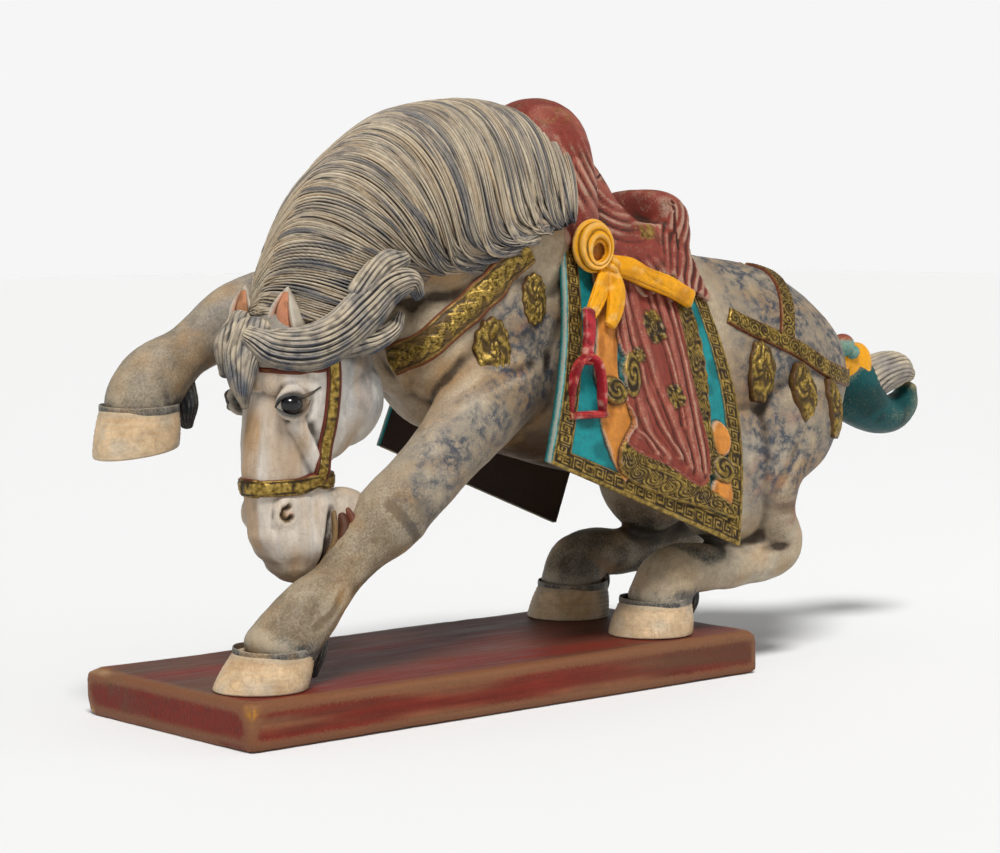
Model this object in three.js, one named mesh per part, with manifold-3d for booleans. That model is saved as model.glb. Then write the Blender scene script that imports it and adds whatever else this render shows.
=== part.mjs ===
// A carved and painted wooden horse on a low plinth: head bent to its planted near foreleg, far foreleg
// raised, heavy combed mane, saddle with two stiff cloths, bridle, breast collar, crupper and tied-up tail.
// Millimetres, +Z up. The head looks to -X, the horse's left side faces -Y. The origin is the centre of
// the plinth's underside.
import * as THREE from 'three';
import { mergeVertices } from 'three/addons/utils/BufferGeometryUtils.js';
import Module from 'manifold-3d';

const wasm = await Module();
wasm.setup();

// Driving dimensions
const plinthLength = 800;
const plinthWidth = 326;
const plinthThickness = 54.4;
const plinthEdgeRadius = 5;
const hoofClearance = 0.3;
const figureHeight = 672;

// Carving counts
const maneLocks = 16;
const clothFolds = 4;
const tuftFlutes = 5;
const braidBeads = 5;

// The figure's stations are written in parts of its own height, from the soles of the hooves upwards.
const partsInHeight = 672;
const unit = figureHeight / partsInHeight;
const soleLevel = plinthThickness + hoofClearance;

const sideways = new THREE.Vector3(0, 1, 0);
const lengthways = new THREE.Vector3(1, 0, 0);

// A rounded end is a ring at this share of the girth, at this share of the way to its pole.
const endGirth = 0.72;
const endShift = 0.7;

function place(x, y, z) {
  return new THREE.Vector3(x * unit, y * unit, soleLevel + z * unit);
}

function closedGeometry(points, triangles) {
  const geometry = new THREE.BufferGeometry();
  geometry.setAttribute('position', new THREE.Float32BufferAttribute(points.flatMap((p) => p.toArray()), 3));
  geometry.setIndex(triangles);
  return geometry;
}

function solidOf(source) {
  const bare = source.clone();
  bare.deleteAttribute('normal');
  bare.deleteAttribute('uv');
  const merged = mergeVertices(bare, 1e-4);
  const mesh = new wasm.Mesh({
    numProp: 3,
    vertProperties: new Float32Array(merged.attributes.position.array),
    triVerts: new Uint32Array(merged.index.array),
  });
  return new wasm.Manifold(mesh);
}

function geometryOf(solid) {
  const mesh = solid.getMesh();
  const geometry = new THREE.BufferGeometry();
  geometry.setAttribute('position', new THREE.BufferAttribute(new Float32Array(mesh.vertProperties), 3));
  geometry.setIndex(new THREE.BufferAttribute(new Uint32Array(mesh.triVerts), 1));
  geometry.computeVertexNormals();
  return geometry;
}

// Closes a stack of rings, all with as many points, with a pole at each end.
function closeRings(rings, firstPole, lastPole) {
  const sides = rings[0].length;
  const points = rings.flat();
  const triangles = [];
  for (let i = 0; i < rings.length - 1; i++) {
    for (let j = 0; j < sides; j++) {
      const a = i * sides + j;
      const b = i * sides + (j + 1) % sides;
      triangles.push(a, b, b + sides, a, b + sides, a + sides);
    }
  }
  const first = points.length;
  const last = first + 1;
  const top = (rings.length - 1) * sides;
  points.push(firstPole, lastPole);
  for (let j = 0; j < sides; j++) {
    triangles.push(first, (j + 1) % sides, j);
    triangles.push(last, top + j, top + (j + 1) % sides);
  }
  return closedGeometry(points, triangles);
}

// The smooth line through a list of stations [x, y, z, half width, half depth]. The width lies along axis.
function spine(stations, axis = sideways) {
  const centres = stations.map(([x, y, z]) => place(x, y, z));
  const girths = stations.map(([, , , wide, deep]) => new THREE.Vector3(wide * unit, deep * unit, 0));
  const path = new THREE.CatmullRomCurve3(centres, false, 'centripetal');
  const girth = new THREE.CatmullRomCurve3(girths, false, 'catmullrom', 0.4);
  return function frameAt(t) {
    const along = path.getTangent(t);
    const across = axis.clone().addScaledVector(along, -axis.dot(along)).normalize();
    const deep = along.clone().cross(across);
    const size = girth.getPoint(t);
    return { centre: path.getPoint(t), along, across, deep, halfWidth: size.x, halfDepth: size.y };
  };
}

function signedPower(value, power) {
  return Math.sign(value) * Math.abs(value) ** power;
}

// A closed body swept along its stations, with rounded or flat ends. Square above 2 makes it boxier, and
// flutes cuts grooves along it.
function sweep(stations, options = {}) {
  const { sides = 12, steps = 3, square = 2, flutes = 0, fluteDepth = 0.12, round = 0.6, axis } = options;
  const frameAt = spine(stations, axis);
  const count = (stations.length - 1) * steps;
  const ringAt = (t, scale, shift) => {
    const f = frameAt(t);
    return Array.from({ length: sides }, (_, j) => {
      const angle = (2 * Math.PI * j) / sides;
      const groove = 1 - fluteDepth * (flutes ? 0.5 + 0.5 * Math.cos(flutes * angle) : 0);
      const wide = f.halfWidth * scale * groove * signedPower(Math.cos(angle), 2 / square);
      const deep = f.halfDepth * scale * groove * signedPower(Math.sin(angle), 2 / square);
      return f.centre.clone().addScaledVector(f.across, wide).addScaledVector(f.deep, deep)
        .addScaledVector(f.along, shift);
    });
  };
  const reach = (t) => round * Math.min(frameAt(t).halfWidth, frameAt(t).halfDepth);
  const rings = [];
  if (round > 0) rings.push(ringAt(0, endGirth, -endShift * reach(0)));
  for (let i = 0; i <= count; i++) rings.push(ringAt(i / count, 1, 0));
  if (round > 0) rings.push(ringAt(1, endGirth, endShift * reach(1)));
  const start = frameAt(0);
  const end = frameAt(1);
  const firstPole = start.centre.clone().addScaledVector(start.along, -reach(0));
  const lastPole = end.centre.clone().addScaledVector(end.along, reach(1));
  return closeRings(rings, firstPole, lastPole);
}

// Detail 0 to 2 gives 20, 80 or 320 faces.
function ellipsoid(x, y, z, rx, ry, rz, detail = 1) {
  const geometry = new THREE.IcosahedronGeometry(1, detail);
  geometry.scale(rx * unit, ry * unit, rz * unit);
  const centre = place(x, y, z);
  geometry.translate(centre.x, centre.y, centre.z);
  return geometry;
}

// A board between an outer and an inner face, both given on a grid from 0 to 1.
function board(faceAt, columns, rows) {
  const stride = columns + 1;
  const layer = stride * (rows + 1);
  const points = [];
  for (const side of [0, 1]) {
    for (let r = 0; r <= rows; r++) {
      for (let c = 0; c <= columns; c++) points.push(faceAt(c / columns, r / rows, side));
    }
  }
  const triangles = [];
  const quad = (a, b, c, d) => triangles.push(a, b, c, a, c, d);
  for (let r = 0; r < rows; r++) {
    for (let c = 0; c < columns; c++) {
      const a = r * stride + c;
      quad(a, a + 1, a + stride + 1, a + stride);
      quad(layer + a, layer + a + stride, layer + a + stride + 1, layer + a + 1);
    }
  }
  for (let c = 0; c < columns; c++) {
    const low = rows * stride + c;
    quad(c, layer + c, layer + c + 1, c + 1);
    quad(low, low + 1, layer + low + 1, layer + low);
  }
  for (let r = 0; r < rows; r++) {
    const left = r * stride;
    const right = left + columns;
    quad(left, left + stride, layer + left + stride, layer + left);
    quad(right, layer + right, layer + right + stride, right + stride);
  }
  return closedGeometry(points, triangles);
}

// Body: chest to buttocks
function trunk() {
  return sweep([
    [-62, 0, 372, 52, 62], [-30, 0, 374, 86, 100], [90, 0, 374, 104, 136], [300, 0, 342, 106, 150],
    [440, 0, 336, 118, 141], [520, 0, 332, 128, 132], [590, 0, 313, 120, 111], [640, 0, 291, 96, 86],
    [672, 0, 280, 60, 58],
  ], { sides: 12, steps: 2 });
}

// Neck and mane share one line, from the poll over the arch to the withers.
const crestLine = [
  [-232, -30, 385, 50, 56], [-210, -26, 440, 58, 62], [-146, -18, 504, 70, 86], [-66, -10, 528, 82, 120],
  [24, -5, 518, 92, 148], [106, 0, 492, 98, 162],
];

function neck() {
  const bare = crestLine.map(([x, y, z, wide, deep]) => [x, y, z, wide * 1.06, deep * 0.92]);
  return sweep(bare, { sides: 12, steps: 1 });
}

// The mane hangs round the crest as a thick shell with S-shaped locks that fan out towards the hem. Each
// ring starts at its own place along the crest and slides on along it as it drops by the fan's share.
function mane() {
  const [shellWide, shellDeep] = [18, 8];
  const [hemAtPoll, hemAtWithers] = [2.45, 1.6];
  const [first, fan, groove] = [0.04, 0.42, 0.955];
  const shell = crestLine.map(([x, y, z, wide, deep]) => [x, y, z, wide + shellWide, deep + shellDeep]);
  const frameAt = spine(shell);
  const alongCrest = (start, drop) => first + (1 - first) * start ** (1 - fan * drop);
  const outer = 5;
  const rings = [];
  const ringCount = maneLocks * 2;
  for (let i = 0; i <= ringCount; i++) {
    const start = i / ringCount;
    const ridge = i % 2 === 0 ? 1 : groove;
    const ring = [];
    for (let k = outer; k >= -outer; k--) {
      const drop = Math.abs(k) / outer;
      const t = alongCrest(start, drop);
      const f = frameAt(t);
      const hem = THREE.MathUtils.lerp(hemAtPoll, hemAtWithers, t);
      const angle = hem * (k / outer);
      const curl = 1 - 0.1 * drop ** 4;
      ring.push(f.centre.clone()
        .addScaledVector(f.across, f.halfWidth * ridge * curl * signedPower(Math.sin(angle), 1.3))
        .addScaledVector(f.deep, f.halfDepth * ridge * curl * Math.cos(angle)));
    }
    for (const side of [-1, 0, 1]) {
      const f = frameAt(alongCrest(start, 1));
      const inset = f.centre.clone().addScaledVector(f.across, side * f.halfWidth * 0.35);
      ring.push(inset.addScaledVector(f.deep, -0.2 * f.halfDepth));
    }
    rings.push(ring);
  }
  const middleOf = (ring) => {
    const sum = ring.reduce((total, p) => total.add(p), new THREE.Vector3());
    return sum.divideScalar(ring.length);
  };
  return closeRings(rings, middleOf(rings[0]), middleOf(rings[rings.length - 1]));
}

function hairLocks() {
  const longLock = sweep([
    [-318, -52, 392, 10, 12], [-300, -72, 376, 14, 20], [-262, -88, 374, 16, 25], [-226, -96, 390, 18, 27],
    [-192, -102, 420, 18, 28], [-158, -104, 446, 16, 22], [-124, -104, 452, 12, 14], [-112, -104, 436, 6, 8],
  ], { sides: 10, steps: 1, flutes: tuftFlutes });
  const curlAbove = sweep([
    [-196, -98, 436, 16, 20], [-160, -98, 470, 15, 20], [-128, -96, 478, 9, 10],
  ], { sides: 8, steps: 1, flutes: 4 });
  const curlBelow = sweep([
    [-222, -96, 382, 14, 16], [-180, -98, 386, 15, 16], [-146, -98, 400, 10, 12], [-134, -97, 414, 5, 6],
  ], { sides: 8, steps: 1, flutes: 4 });
  const foreLock = sweep([
    [-296, -34, 402, 26, 16], [-316, -38, 372, 30, 15], [-322, -44, 342, 20, 12], [-322, -50, 314, 4, 5],
  ], { sides: 8, steps: 1, flutes: 4 });
  const farTuft = sweep([
    [-286, 2, 408, 16, 16], [-306, 4, 380, 18, 15], [-309, 6, 348, 7, 7],
  ], { sides: 8, steps: 1, flutes: 4 });
  return [longLock, curlAbove, curlBelow, foreLock, farTuft];
}

// Head: flat nasal bone, round jaw, muzzle bent back to the knee
function head() {
  const skull = sweep([
    [-212, -28, 432, 40, 56], [-226, -36, 362, 55, 85], [-234, -37, 308, 52, 76], [-256, -40, 262, 40, 56],
    [-260, -45, 212, 34, 52], [-251, -48, 180, 40, 59], [-246, -51, 150, 40, 52], [-244, -52, 126, 30, 34],
  ], { sides: 12, steps: 2, square: 2.6 });
  const jaw = ellipsoid(-185, -37, 318, 58, 58, 60);
  const eyes = [10, -84].map((y) => ellipsoid(-286, y, 318, 20, 12, 17, y < 0 ? 1 : 0));
  const nostrils = [-16, -84].map((y) => ellipsoid(-280, y, 178, 24, 12, 20, 0));
  const lowerLip = ellipsoid(-198, -56, 179, 38, 28, 33);
  return [skull, jaw, ...eyes, ...nostrils, lowerLip];
}

function ear(y, lean) {
  return sweep([
    [-262, y, 388, 16, 18], [-272, y + lean, 412, 19, 22], [-274, y + lean * 1.6, 436, 13, 14],
    [-270, y + lean * 2, 456, 3, 3],
  ], { sides: 6, steps: 1 });
}

// A hoof widens downwards from the coronet to a flat or slanting sole.
function hoof(x, y, soleZ, topX, rise, soleSlope = 0, broad = 54) {
  const narrow = 46;
  const geometry = new THREE.CylinderGeometry(narrow * unit, broad * unit, rise * unit, 12, 1);
  geometry.rotateX(Math.PI / 2);
  geometry.translate(0, 0, (rise * unit) / 2);
  const corners = geometry.attributes.position;
  for (let i = 0; i < corners.count; i++) {
    const height = corners.getZ(i) / (rise * unit);
    const forward = corners.getX(i);
    corners.setX(i, forward + (topX - x) * unit * height);
    corners.setZ(i, corners.getZ(i) + forward * soleSlope * (1 - height));
  }
  const foot = place(x, y, soleZ);
  geometry.translate(foot.x, foot.y, foot.z);
  return geometry;
}

function feather(x, y, z, dropX, dropZ) {
  return sweep([
    [x, y, z, 22, 14], [x + dropX * 0.6, y, z + dropZ * 0.5, 22, 13], [x + dropX, y, z + dropZ, 10, 6],
  ], { sides: 8, steps: 1, flutes: 4 });
}

function nearForeleg() {
  return [
    sweep([
      [66, -62, 350, 46, 76], [14, -80, 312, 44, 60], [-78, -94, 238, 38, 44],
      [-156, -97, 178, 38, 44], [-196, -98, 146, 32, 32], [-232, -98, 114, 28, 27], [-270, -97, 82, 36, 37],
      [-314, -94, 38, 41, 41],
    ], { sides: 8, steps: 2 }),
    hoof(-333, -90, 0, -314, 40),
    feather(-262, -96, 62, -4, -52),
  ];
}

function raisedForeleg() {
  return [
    sweep([
      [40, 60, 360, 46, 76], [-60, 74, 395, 42, 60], [-150, 82, 415, 38, 50], [-225, 85, 412, 36, 44],
      [-300, 88, 373, 28, 32], [-345, 90, 343, 38, 41], [-366, 90, 320, 41, 42],
      [-371, 90, 304, 41, 41],
    ], { sides: 8, steps: 2 }),
    hoof(-375, 90, 257, -370, 48, 0.16, 50),
    feather(-312, 90, 334, 8, -50),
  ];
}

function hindLeg(side, forward) {
  const y = (value) => side * value;
  const x = (value) => value + forward;
  return [
    sweep([
      [x(552), y(62), 312, 60, 86], [x(528), y(90), 258, 58, 80], [x(484), y(104), 196, 44, 50],
      [x(487), y(102), 140, 34, 33], [x(506), y(99), 94, 30, 34], [x(430), y(98), 74, 26, 27],
      [x(338), y(98), 78, 34, 34], [x(304), y(98), 68, 38, 39],
      [x(288), y(96), 38, 41, 41],
    ], { sides: 8, steps: 2 }),
    ellipsoid(428, y(84), 196, 94, 50, 96),
    hoof(x(279), y(91), 0, x(288), 40),
    feather(x(334), y(96), 60, 4, -44),
  ];
}

// Saddle: tall pommel, hollow seat, low cantle
function saddle() {
  const pommel = sweep([
    [146, -84, 500, 42, 26], [152, -68, 572, 44, 28], [158, -36, 630, 48, 30], [161, 0, 645, 50, 30],
    [158, 36, 630, 48, 30], [152, 68, 572, 44, 28], [146, 84, 500, 42, 26],
  ], { sides: 10, steps: 1, axis: lengthways });
  const seat = sweep([
    [140, 0, 560, 80, 84], [185, 0, 556, 72, 62], [228, 0, 520, 76, 46], [285, 0, 488, 82, 42],
    [345, 0, 478, 74, 42],
  ], { sides: 12, steps: 1, square: 2.4 });
  const cantle = ellipsoid(346, 0, 504, 34, 78, 58);
  return [pommel, seat, cantle];
}

// The saddle cloths are stiff boards that hang on both sides. The near one is folded in its middle panel.
const clothCorners = {
  topFront: [128, 92, 506], topRear: [366, 78, 468], lowFront: [38, 168, 238], lowRear: [354, 180, 114],
};
const clothThickness = 13;
const clothBorder = 1 / 6;

function clothPoint(u, v, side, face) {
  const [x, y, z] = [0, 1, 2].map((k) => {
    const top = THREE.MathUtils.lerp(clothCorners.topFront[k], clothCorners.topRear[k], u);
    const low = THREE.MathUtils.lerp(clothCorners.lowFront[k], clothCorners.lowRear[k], u);
    return THREE.MathUtils.lerp(top, low, v);
  });
  const draped = side < 0 && Math.min(u, 1 - u, 1 - v) > clothBorder - 0.01 && v > 0.1;
  const turn = (u - clothBorder) / (1 - 2 * clothBorder);
  const fold = draped ? 4 * Math.cos(2 * Math.PI * clothFolds * turn) - 5 : 0;
  const bulge = 16 * Math.sin(Math.PI * v);
  const out = y + bulge + (face === 0 ? fold : -clothThickness);
  return place(x + 24 * u * Math.sin(Math.PI * v), side * out, z);
}

function saddleCloth(side) {
  const columns = side < 0 ? 12 : 4;
  return board((u, v, face) => clothPoint(side < 0 ? 1 - u : u, v, side, face), columns, 4);
}

// A flat strap through points, half as wide and half as thick as the two sizes say
function strap(points, wide, thick) {
  const stations = points.map(([x, y, z]) => [x, y, z, thick, wide]);
  return sweep(stations, { sides: 6, steps: 1, square: 3, round: 0 });
}

function sash() {
  const [loopRadius, cordRadius, loopTurn] = [22, 7, -0.35];
  const loop = new THREE.TorusGeometry(loopRadius * unit, cordRadius * unit, 5, 10);
  loop.rotateX(Math.PI / 2);
  loop.rotateZ(loopTurn);
  const loopCentre = place(152, -118, 488);
  loop.translate(loopCentre.x, loopCentre.y, loopCentre.z);
  const knot = ellipsoid(176, -118, 468, 15, 13, 15, 0);
  const band = strap([[176, -112, 470], [240, -116, 450], [319, -112, 425]], 12, 8);
  const tails = [[-0.9, 66], [-0.2, 74]].map(([lean, fall]) => {
    const [high, low] = [464, 464 - fall];
    const bend = [160 + lean * 26, -128, (high + low) / 2];
    return strap([[172, -118, high], bend, [150 + lean * 40, -132, low]], 9, 5);
  });
  return [loop, knot, band, ...tails];
}

// An arch with a flat foot plate: the round tops of its outline and its opening have one centre.
function stirrup() {
  const [halfOutside, halfOpening, archCentre] = [27, 17, 22];
  const [footUnderside, footTop, frameDepth] = [-24, -13, 20];
  const outline = new THREE.Shape();
  outline.absarc(0, archCentre, halfOutside, 0, Math.PI, false);
  outline.lineTo(-halfOutside, footUnderside);
  outline.lineTo(halfOutside, footUnderside);
  const opening = new THREE.Path();
  opening.absarc(0, archCentre, halfOpening, 0, Math.PI, false);
  opening.lineTo(-halfOpening, footTop);
  opening.lineTo(halfOpening, footTop);
  outline.holes.push(opening);
  const settings = { depth: frameDepth, bevelEnabled: false, curveSegments: 6 };
  const frame = new THREE.ExtrudeGeometry(outline, settings);
  frame.scale(unit, unit, unit);
  frame.rotateX(Math.PI / 2);
  const centre = place(105, -150, 311);
  frame.translate(centre.x, centre.y, centre.z);
  return [frame, strap([[126, -138, 415], [112, -146, 384], [106, -150, 350]], 8, 6)];
}

function breastCollar() {
  const run = (side) => sweep([
    [96, side * 98, 508, 10, 15], [61, side * 98, 487, 10, 17], [11, side * 99, 452, 10, 18],
    [-38, side * 97, 418, 10, 18], [-77, side * 72, 377, 10, 17], [-88, side * 20, 352, 10, 17],
  ], { sides: 6, steps: 1, square: 3, round: 0.4, axis: new THREE.Vector3(0.6, -0.8 * side, 0) });
  const beads = Array.from({ length: braidBeads }, (_, i) => {
    const t = (i + 0.5) / braidBeads;
    const x = THREE.MathUtils.lerp(92, -52, t);
    const z = THREE.MathUtils.lerp(506, 408, t);
    return ellipsoid(x, -106, z, 11, 8, 14, 0);
  });
  const medallions = [[2, -97, 371, 1], [70, -97, 428, 0.85]].map(([x, y, z, size]) => {
    return ellipsoid(x, y, z, 21 * size, 12, 36 * size);
  });
  return [run(-1), run(1), ...beads, ...medallions];
}

function bridle() {
  const cheekStrap = (middle, side) => strap([
    [-196, middle + side * 56, 372], [-204, middle + side * 58, 330], [-216, middle + side * 50, 280],
    [-224, middle + side * 40, 236], [-228, middle + side * 34, 216],
  ], 9, 5);
  const noseband = sweep([
    [-258, -45, 226, 38, 55], [-258, -45, 208, 38, 55],
  ], { sides: 12, steps: 1, square: 2.6, round: 0.05 });
  return [cheekStrap(-40, -1), cheekStrap(-38, 1), noseband];
}

// Two straps on each flank, with three leaf-shaped tassels under the long one
function crupper() {
  const overLoins = [[548, 4, 446], [532, 66, 432], [508, 108, 396], [494, 122, 366]];
  const alongFlank = [[411, 108, 401], [499, 122, 362], [576, 120, 326], [636, 84, 312]];
  const tassels = [[449, 120, 334], [514, 126, 304], [574, 120, 280]];
  return [-1, 1].flatMap((side) => {
    const onSide = (points) => points.map(([x, y, z]) => [x, side * y, z]);
    const detail = side < 0 ? 1 : 0;
    return [
      strap(onSide(overLoins), 9, 7),
      strap(onSide(alongFlank), 9, 7),
      ...onSide(tassels).map(([x, y, z]) => ellipsoid(x, y, z, 20, 11, 40, detail)),
    ];
  });
}

// Tail: bound with a ribbon, tied up in a bag, the hair coming out above its hooked end
function tail() {
  const dock = sweep([
    [620, 0, 312, 44, 34], [684, 0, 318, 36, 32], [728, -2, 322, 32, 32], [760, -2, 312, 33, 42],
  ], { sides: 8, steps: 1 });
  const bag = sweep([
    [744, -2, 310, 34, 40], [764, -2, 284, 38, 46], [798, -2, 256, 37, 32], [838, -2, 247, 34, 26],
    [870, -2, 262, 26, 20], [884, -2, 284, 14, 12],
  ], { sides: 8, steps: 1 });
  const tuft = sweep([
    [776, -2, 290, 34, 34], [814, -2, 304, 34, 30], [852, -2, 310, 30, 26], [882, -2, 302, 14, 12],
  ], { sides: 10, steps: 1, flutes: tuftFlutes });
  const knot = ellipsoid(712, -28, 350, 18, 16, 16, 0);
  return [dock, bag, tuft, knot];
}

function carvedHorse() {
  const carved = [
    trunk(), neck(), mane(), ...hairLocks(), ...head(), ear(-58, -2), ear(10, 4), ...nearForeleg(),
    ...raisedForeleg(), ...hindLeg(-1, 0), ...hindLeg(1, 26), ...saddle(), saddleCloth(-1), saddleCloth(1),
    ...sash(), ...stirrup(), ...breastCollar(), ...bridle(), ...crupper(), ...tail(),
  ];
  return carved.map(solidOf).reduce((whole, piece) => whole.add(piece));
}

function plinthBoard() {
  const along = plinthLength / 2 - plinthEdgeRadius;
  const across = plinthWidth / 2 - plinthEdgeRadius;
  const outline = new THREE.Shape();
  outline.absarc(along, across, plinthEdgeRadius, 0, Math.PI / 2);
  outline.absarc(-along, across, plinthEdgeRadius, Math.PI / 2, Math.PI);
  outline.absarc(-along, -across, plinthEdgeRadius, Math.PI, 1.5 * Math.PI);
  outline.absarc(along, -across, plinthEdgeRadius, 1.5 * Math.PI, 2 * Math.PI);
  const settings = { depth: plinthThickness, bevelEnabled: false, curveSegments: 4 };
  return new THREE.ExtrudeGeometry(outline, settings);
}

function paintedWood(color, roughness) {
  return new THREE.MeshStandardMaterial({ color, roughness, metalness: 0, flatShading: true });
}

function namedMesh(name, geometry, material) {
  const mesh = new THREE.Mesh(geometry, material);
  mesh.name = name;
  return mesh;
}

const group = new THREE.Group();
group.add(namedMesh('plinth', plinthBoard(), paintedWood(0x6e2a25, 0.6)));
group.add(namedMesh('carved_horse', geometryOf(carvedHorse()), paintedWood(0xa89c8c, 0.65)));

export default group;
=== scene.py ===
import bpy
import bmesh
import numpy as np
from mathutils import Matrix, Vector
from mathutils.bvhtree import BVHTree


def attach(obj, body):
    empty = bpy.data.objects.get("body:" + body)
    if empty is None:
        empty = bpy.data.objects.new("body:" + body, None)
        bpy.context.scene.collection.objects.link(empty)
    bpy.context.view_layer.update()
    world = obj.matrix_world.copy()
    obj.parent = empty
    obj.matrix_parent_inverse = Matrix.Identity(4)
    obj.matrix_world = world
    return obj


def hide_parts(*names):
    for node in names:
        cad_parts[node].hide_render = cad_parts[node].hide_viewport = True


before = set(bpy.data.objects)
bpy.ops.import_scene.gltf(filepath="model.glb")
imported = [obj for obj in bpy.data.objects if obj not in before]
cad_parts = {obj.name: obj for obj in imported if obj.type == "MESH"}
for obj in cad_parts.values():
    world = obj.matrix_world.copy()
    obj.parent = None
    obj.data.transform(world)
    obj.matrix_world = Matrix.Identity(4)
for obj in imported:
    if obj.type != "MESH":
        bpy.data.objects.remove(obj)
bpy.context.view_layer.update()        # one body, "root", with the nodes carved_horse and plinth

# Everything is drawn in mm, with z from the soles of the hooves, and turned to metres as a mesh is made.
soleLevel = 54.7         # the soles stand this high over the plinth's underside

# Camera: solved from the plinth's corners
cameraSettings = {"eye": (-2.1055, -2.5022, 0.5820), "target": (0.1048, 0.0, 0.3216), "lens": 96.88}

paints = {
    "coat": "#A09078", "coatWarm": "#A07B4D", "coatPale": "#ACA597", "coatGrey": "#7F7B74", "face": "#C4BCB1",
    "dapple": "#3A414C", "belly": "#42311F", "dark": "#232520", "coronet": "#35383C", "hoof": "#C6AA86",
    "maneRidge": "#BEAF97", "maneBlue": "#4E5A6B", "maneGroove": "#15161B", "maneTipAndShade": "#2B3240",
    "earInside": "#B87C5C", "pink": "#A8604C", "red": "#7C362B", "redPale": "#A3604F", "redDark": "#451A15",
    "yellow": "#DC960E", "yellowDark": "#97570A", "teal": "#1A7E80", "tealDeep": "#07484B", "gold": "#7E6529",
    "goldDark": "#2E2210", "bole": "#5E2A1C", "orange": "#C07C35", "orangeDark": "#84481A", "stirrup": "#A0222C",
    "bareWood": "#33241A", "plinthRed": "#6C2317", "plinthWear": "#7B5439", "plinthBrown": "#553A29",
    "ochre": "#B9802F", "black": "#16171A", "mouth": "#2B1C16",
}


def linear(name):
    # sRGB hex to linear light
    code = paints.get(name, name).lstrip("#")
    parts = [int(code[i:i + 2], 16) / 255 for i in (0, 2, 4)]
    return np.array([c / 12.92 if c <= 0.04045 else ((c + 0.055) / 1.055) ** 2.4 for c in parts])


def unitVectors(v):
    return v / np.maximum(np.linalg.norm(v, axis=-1, keepdims=True), 1e-9)


def ease(low, high, value):
    t = np.clip((value - low) / (high - low), 0, 1)
    return t * t * (3 - 2 * t)


def signedPower(value, power):
    return np.sign(value) * np.abs(value) ** power


def tint(paint, name, share):
    # one more coat of a named colour over the paint
    return paint + (linear(name) - paint) * np.asarray(share)[..., None]


def flood(points, name):
    # the same colour at every point
    return np.broadcast_to(linear(name), (len(points), 3))


def ripple(points, span, seed, waves=7):
    # a smooth uneven field from -1 to 1, with swells about one span wide
    dice = np.random.default_rng(seed)
    ways = unitVectors(dice.normal(size=(waves, points.shape[-1]))) * dice.uniform(0.6, 1.5, (waves, 1))
    shifts = dice.uniform(0, 6.28, waves)
    return np.sin(points @ ways.T * (3.1 / span) + shifts).sum(-1) / waves ** 0.5 * 0.75


# Lines and swept forms

def smoothLine(points, steps, tension=None):
    p = np.asarray(points, float)
    e = np.vstack([2 * p[0] - p[1], p, 2 * p[-1] - p[-2]])
    t = np.linspace(0, 1, steps, endpoint=False)[:, None]
    out = []
    for i in range(len(p) - 1):
        a, b, c, d = e[i:i + 4]
        if tension is None:
            s0, s1, s2 = (max(np.linalg.norm(v) ** 0.5, 1e-4) for v in (b - a, c - b, d - c))
            m1 = ((b - a) / s0 - (c - a) / (s0 + s1) + (c - b) / s1) * s1
            m2 = ((c - b) / s1 - (d - b) / (s1 + s2) + (d - c) / s2) * s1
        else:
            m1, m2 = tension * (c - a), tension * (d - b)
        out.append(b * (2 * t ** 3 - 3 * t ** 2 + 1) + m1 * (t ** 3 - 2 * t ** 2 + t)
                   + c * (3 * t ** 2 - 2 * t ** 3) + m2 * (t ** 3 - t ** 2))
    return np.vstack(out + [p[-1:]])


def evenLine(points, step):
    p = smoothLine(points, 16)
    far = np.concatenate([[0], np.cumsum(np.linalg.norm(np.diff(p, axis=0), axis=1))])
    at = np.linspace(0, far[-1], max(3, int(round(far[-1] / step)) + 1))
    return np.stack([np.interp(at, far, p[:, k]) for k in range(p.shape[1])], 1)


def spine(stations, steps=8, axis=(0, 1, 0)):
    s = np.asarray(stations, float)
    centre = smoothLine(s[:, :3], steps)
    girth = smoothLine(s[:, 3:5], steps, 0.4)
    along = unitVectors(np.gradient(centre, axis=0))
    axis = np.asarray(axis, float)
    across = unitVectors(axis - along * (along @ axis)[:, None])
    return centre, along, across, np.cross(along, across), girth


def ringFaces(rings, sides, first=0):
    i, j = np.meshgrid(np.arange(rings - 1), np.arange(sides), indexing="ij")
    a = first + i * sides + j
    b = first + i * sides + (j + 1) % sides
    return np.stack([a, b, b + sides, a + sides], -1).reshape(-1, 4).tolist()


def loopFaces(count, sides):
    # faces of a tube whose last ring meets its first
    return [[i * sides + j, i * sides + (j + 1) % sides, (i + 1) % count * sides + (j + 1) % sides,
             (i + 1) % count * sides + j] for i in range(count) for j in range(sides)]


def closeForm(rings, firstPole, lastPole):
    count, sides = rings.shape[:2]
    points = np.vstack([rings.reshape(-1, 3), [firstPole, lastPole]])
    faces = ringFaces(count, sides)
    first, last, top = count * sides, count * sides + 1, (count - 1) * sides
    for j in range(sides):
        faces.append([first, (j + 1) % sides, j])
        faces.append([last, top + j, top + (j + 1) % sides])
    return points, faces


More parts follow.
